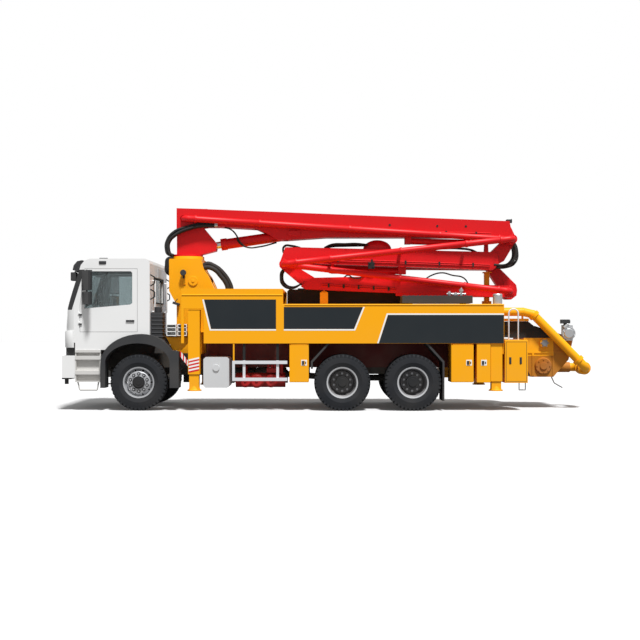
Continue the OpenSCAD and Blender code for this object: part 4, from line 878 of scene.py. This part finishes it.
# from the slewing ring up the head to the first arm, each as (y, offset of its layer)
head_bundle = ((0.16, 0.0), (0.21, 0.0), (0.26, 0.0), (0.185, 0.045), (0.235, 0.045))
head_end_z = 3.625
for k, (y, out) in enumerate(head_bundle):
    route = [(0.540, y, 3.034), (0.480 - out, y, 3.060), (0.442 - out, y, 3.160), (0.452 - out, y, 3.300),
             (0.582 - out, y, 3.442 + out), (0.836, y, 3.560 + out), (1.116, y, 3.620 + out),
             (1.380, y, head_end_z + out)]
    hose(f"head_hose{k}", route, 0.028, ("turret", "arm1"), (0.44, y, 3.30))
    route = [(0.540, y, 2.985), (0.470 - out, y, 2.960), (0.445 - out, y, 2.850), (0.455 - out, y, 2.700),
             (0.540, y, 2.620)]
    hose(f"tower_hose{k}", route, 0.028, ("truck",))
for k, (y, out) in enumerate(((0.20, 0.0), (0.28, 0.0), (0.24, 0.07))):
    route = [(1.090, y, 2.730), (1.200, y, 2.790 + out), (1.360, y, 2.750 + out),
             (1.500 + out / 2, y, 2.610 + out), (1.610 + out, y, 2.450), (1.640 + out, y, 2.330)]
    hose(f"deck_hose{k}", route, 0.045, ("truck",))
# bright couplings where the head hoses end on the first arm
bm = bmesh.new()
for y, out in head_bundle:
    add_rod(bm, (1.365, y, head_end_z + out), (1.430, y, head_end_z + out), 0.031, 6)
piece("head_couplings", bm, alloy, "arm1", 0.002)
# oil lines of the lift cylinder, of the second arm and of the third arm
for k, y in enumerate((0.112, 0.150)):
    route = [(1.560, y, 3.600), (1.680, y, 3.560), (1.790, y, 3.450), (1.838 + 0.03 * k, y, 3.310),
             (2.000, y, 3.205), (2.280, y, 3.215), (2.600, y - 0.04, 3.300)]
    hose(f"lift_hose{k}", route, 0.014, ("arm1", "lift_barrel"), (1.66, y, 3.57))
for k, y in enumerate((-0.06, 0.0, 0.06, 0.12)):
    out = 0.01 * k
    route = [(3.560, y, 3.190), (3.700, y, 3.225 + out), (4.000, y, 3.240 + out), (4.200, y, 3.245 + out),
             (4.440, y, 3.250)]
    hose(f"saddle_hose{k}", route, 0.018, ("arm2",))
for k, y in enumerate((0.06, 0.12)):
    route = [(3.080, y, 3.190), (2.900, y, 3.232), (2.760, y, 3.225), (2.735, y, 3.120), (2.800, y, 3.020)]
    hose(f"nose_hose{k}", route, 0.020, ("arm2",))
for k, y in enumerate((0.03, 0.09)):
    route = [(5.700, y, 3.120), (5.820, y, 3.165), (6.050, y, 3.185), (6.300, y, 3.180), (6.520, y, 3.150),
             (6.640, y, 3.095)]
    hose(f"crown_hose{k}", route, 0.020, ("arm2",))
route = [(3.960, 0.100, 2.600), (4.040, 0.150, 2.640), (4.130, 0.160, 2.590), (4.270, 0.160, 2.585),
         (4.370, 0.150, 2.640), (4.450, 0.100, 2.610)]
hose("loop_hose", route, 0.014, ("arm3",))
route = [(5.560, 0.080, 2.540), (5.720, 0.090, 2.640), (5.930, 0.090, 2.690), (6.140, 0.090, 2.640),
         (6.360, 0.090, 2.590), (6.450, 0.080, 2.480), (6.470, 0.070, 2.420)]
hose("tail_hose", route, 0.014, ("arm3",))
# rubber guide of the deck hoses
bm = bmesh.new()
guide_outline = [(1.080, 2.760), (1.150, 2.750), (1.330, 2.540), (1.320, 2.440), (1.180, 2.480)]
add_plate(bm, guide_outline, 0.120, 0.132)
piece("hose_guide", bm, rubber, "truck")

# Studio: a plain floor, a bright even sky and one soft key light from high on the truck's left, a
# little from the rear. The camera sees a white floor, while the truck is lit by a greyer one.
floor_seen = (0.60, 0.60, 0.60)
floor_lit = (0.18, 0.18, 0.18)
floor_glow = 0.03
sky_light = 0.45
bm = bmesh.new()
bmesh.ops.create_grid(bm, x_segments=1, y_segments=1, size=80)
floor_mesh = bpy.data.meshes.new("floor")
bm.to_mesh(floor_mesh)
bm.free()
floor = bpy.data.objects.new("floor", floor_mesh)
studio_white = finish("studio_white", floor_lit, 0.9, dust=0.0, bump=0.0)
studio_shader = studio_white.node_tree.nodes["Principled BSDF"]
studio_shader.inputs["Emission Color"].default_value = (1, 1, 1, 1)
studio_shader.inputs["Emission Strength"].default_value = floor_glow
tree = studio_white.node_tree
rays = tree.nodes.new("ShaderNodeLightPath")
tone = tree.nodes.new("ShaderNodeMix")
tone.data_type = "RGBA"
tone.inputs[6].default_value = (*floor_lit, 1)
tone.inputs[7].default_value = (*floor_seen, 1)
tree.links.new(rays.outputs["Is Camera Ray"], tone.inputs[0])
floor_wear = next(n for n in tree.nodes if n.type == "GROUP")
tree.links.new(tone.outputs[2], floor_wear.inputs["Colour"])
floor.data.materials.append(studio_white)
scene.collection.objects.link(floor)
world = bpy.data.worlds.new("sky")
scene.world = world
world.use_nodes = True
tree = world.node_tree
sky = tree.nodes["Background"]
sky.inputs["Color"].default_value = (1, 1, 1, 1)
rays = tree.nodes.new("ShaderNodeLightPath")
seen = tree.nodes.new("ShaderNodeMath")
seen.operation = "MAXIMUM"
tree.links.new(rays.outputs["Is Camera Ray"], seen.inputs[0])
tree.links.new(rays.outputs["Is Transmission Ray"], seen.inputs[1])
level = tree.nodes.new("ShaderNodeMapRange")
level.inputs["To Min"].default_value = sky_light
level.inputs["To Max"].default_value = 1.0
tree.links.new(seen.outputs[0], level.inputs["Value"])
tree.links.new(level.outputs[0], sky.inputs["Strength"])
key = bpy.data.objects.new("key", bpy.data.lights.new("key", "SUN"))
key.data.energy = 5.0
key.data.angle = math.radians(8)
key.rotation_euler = (math.radians(-24), math.radians(-10), 0)
scene.collection.objects.link(key)
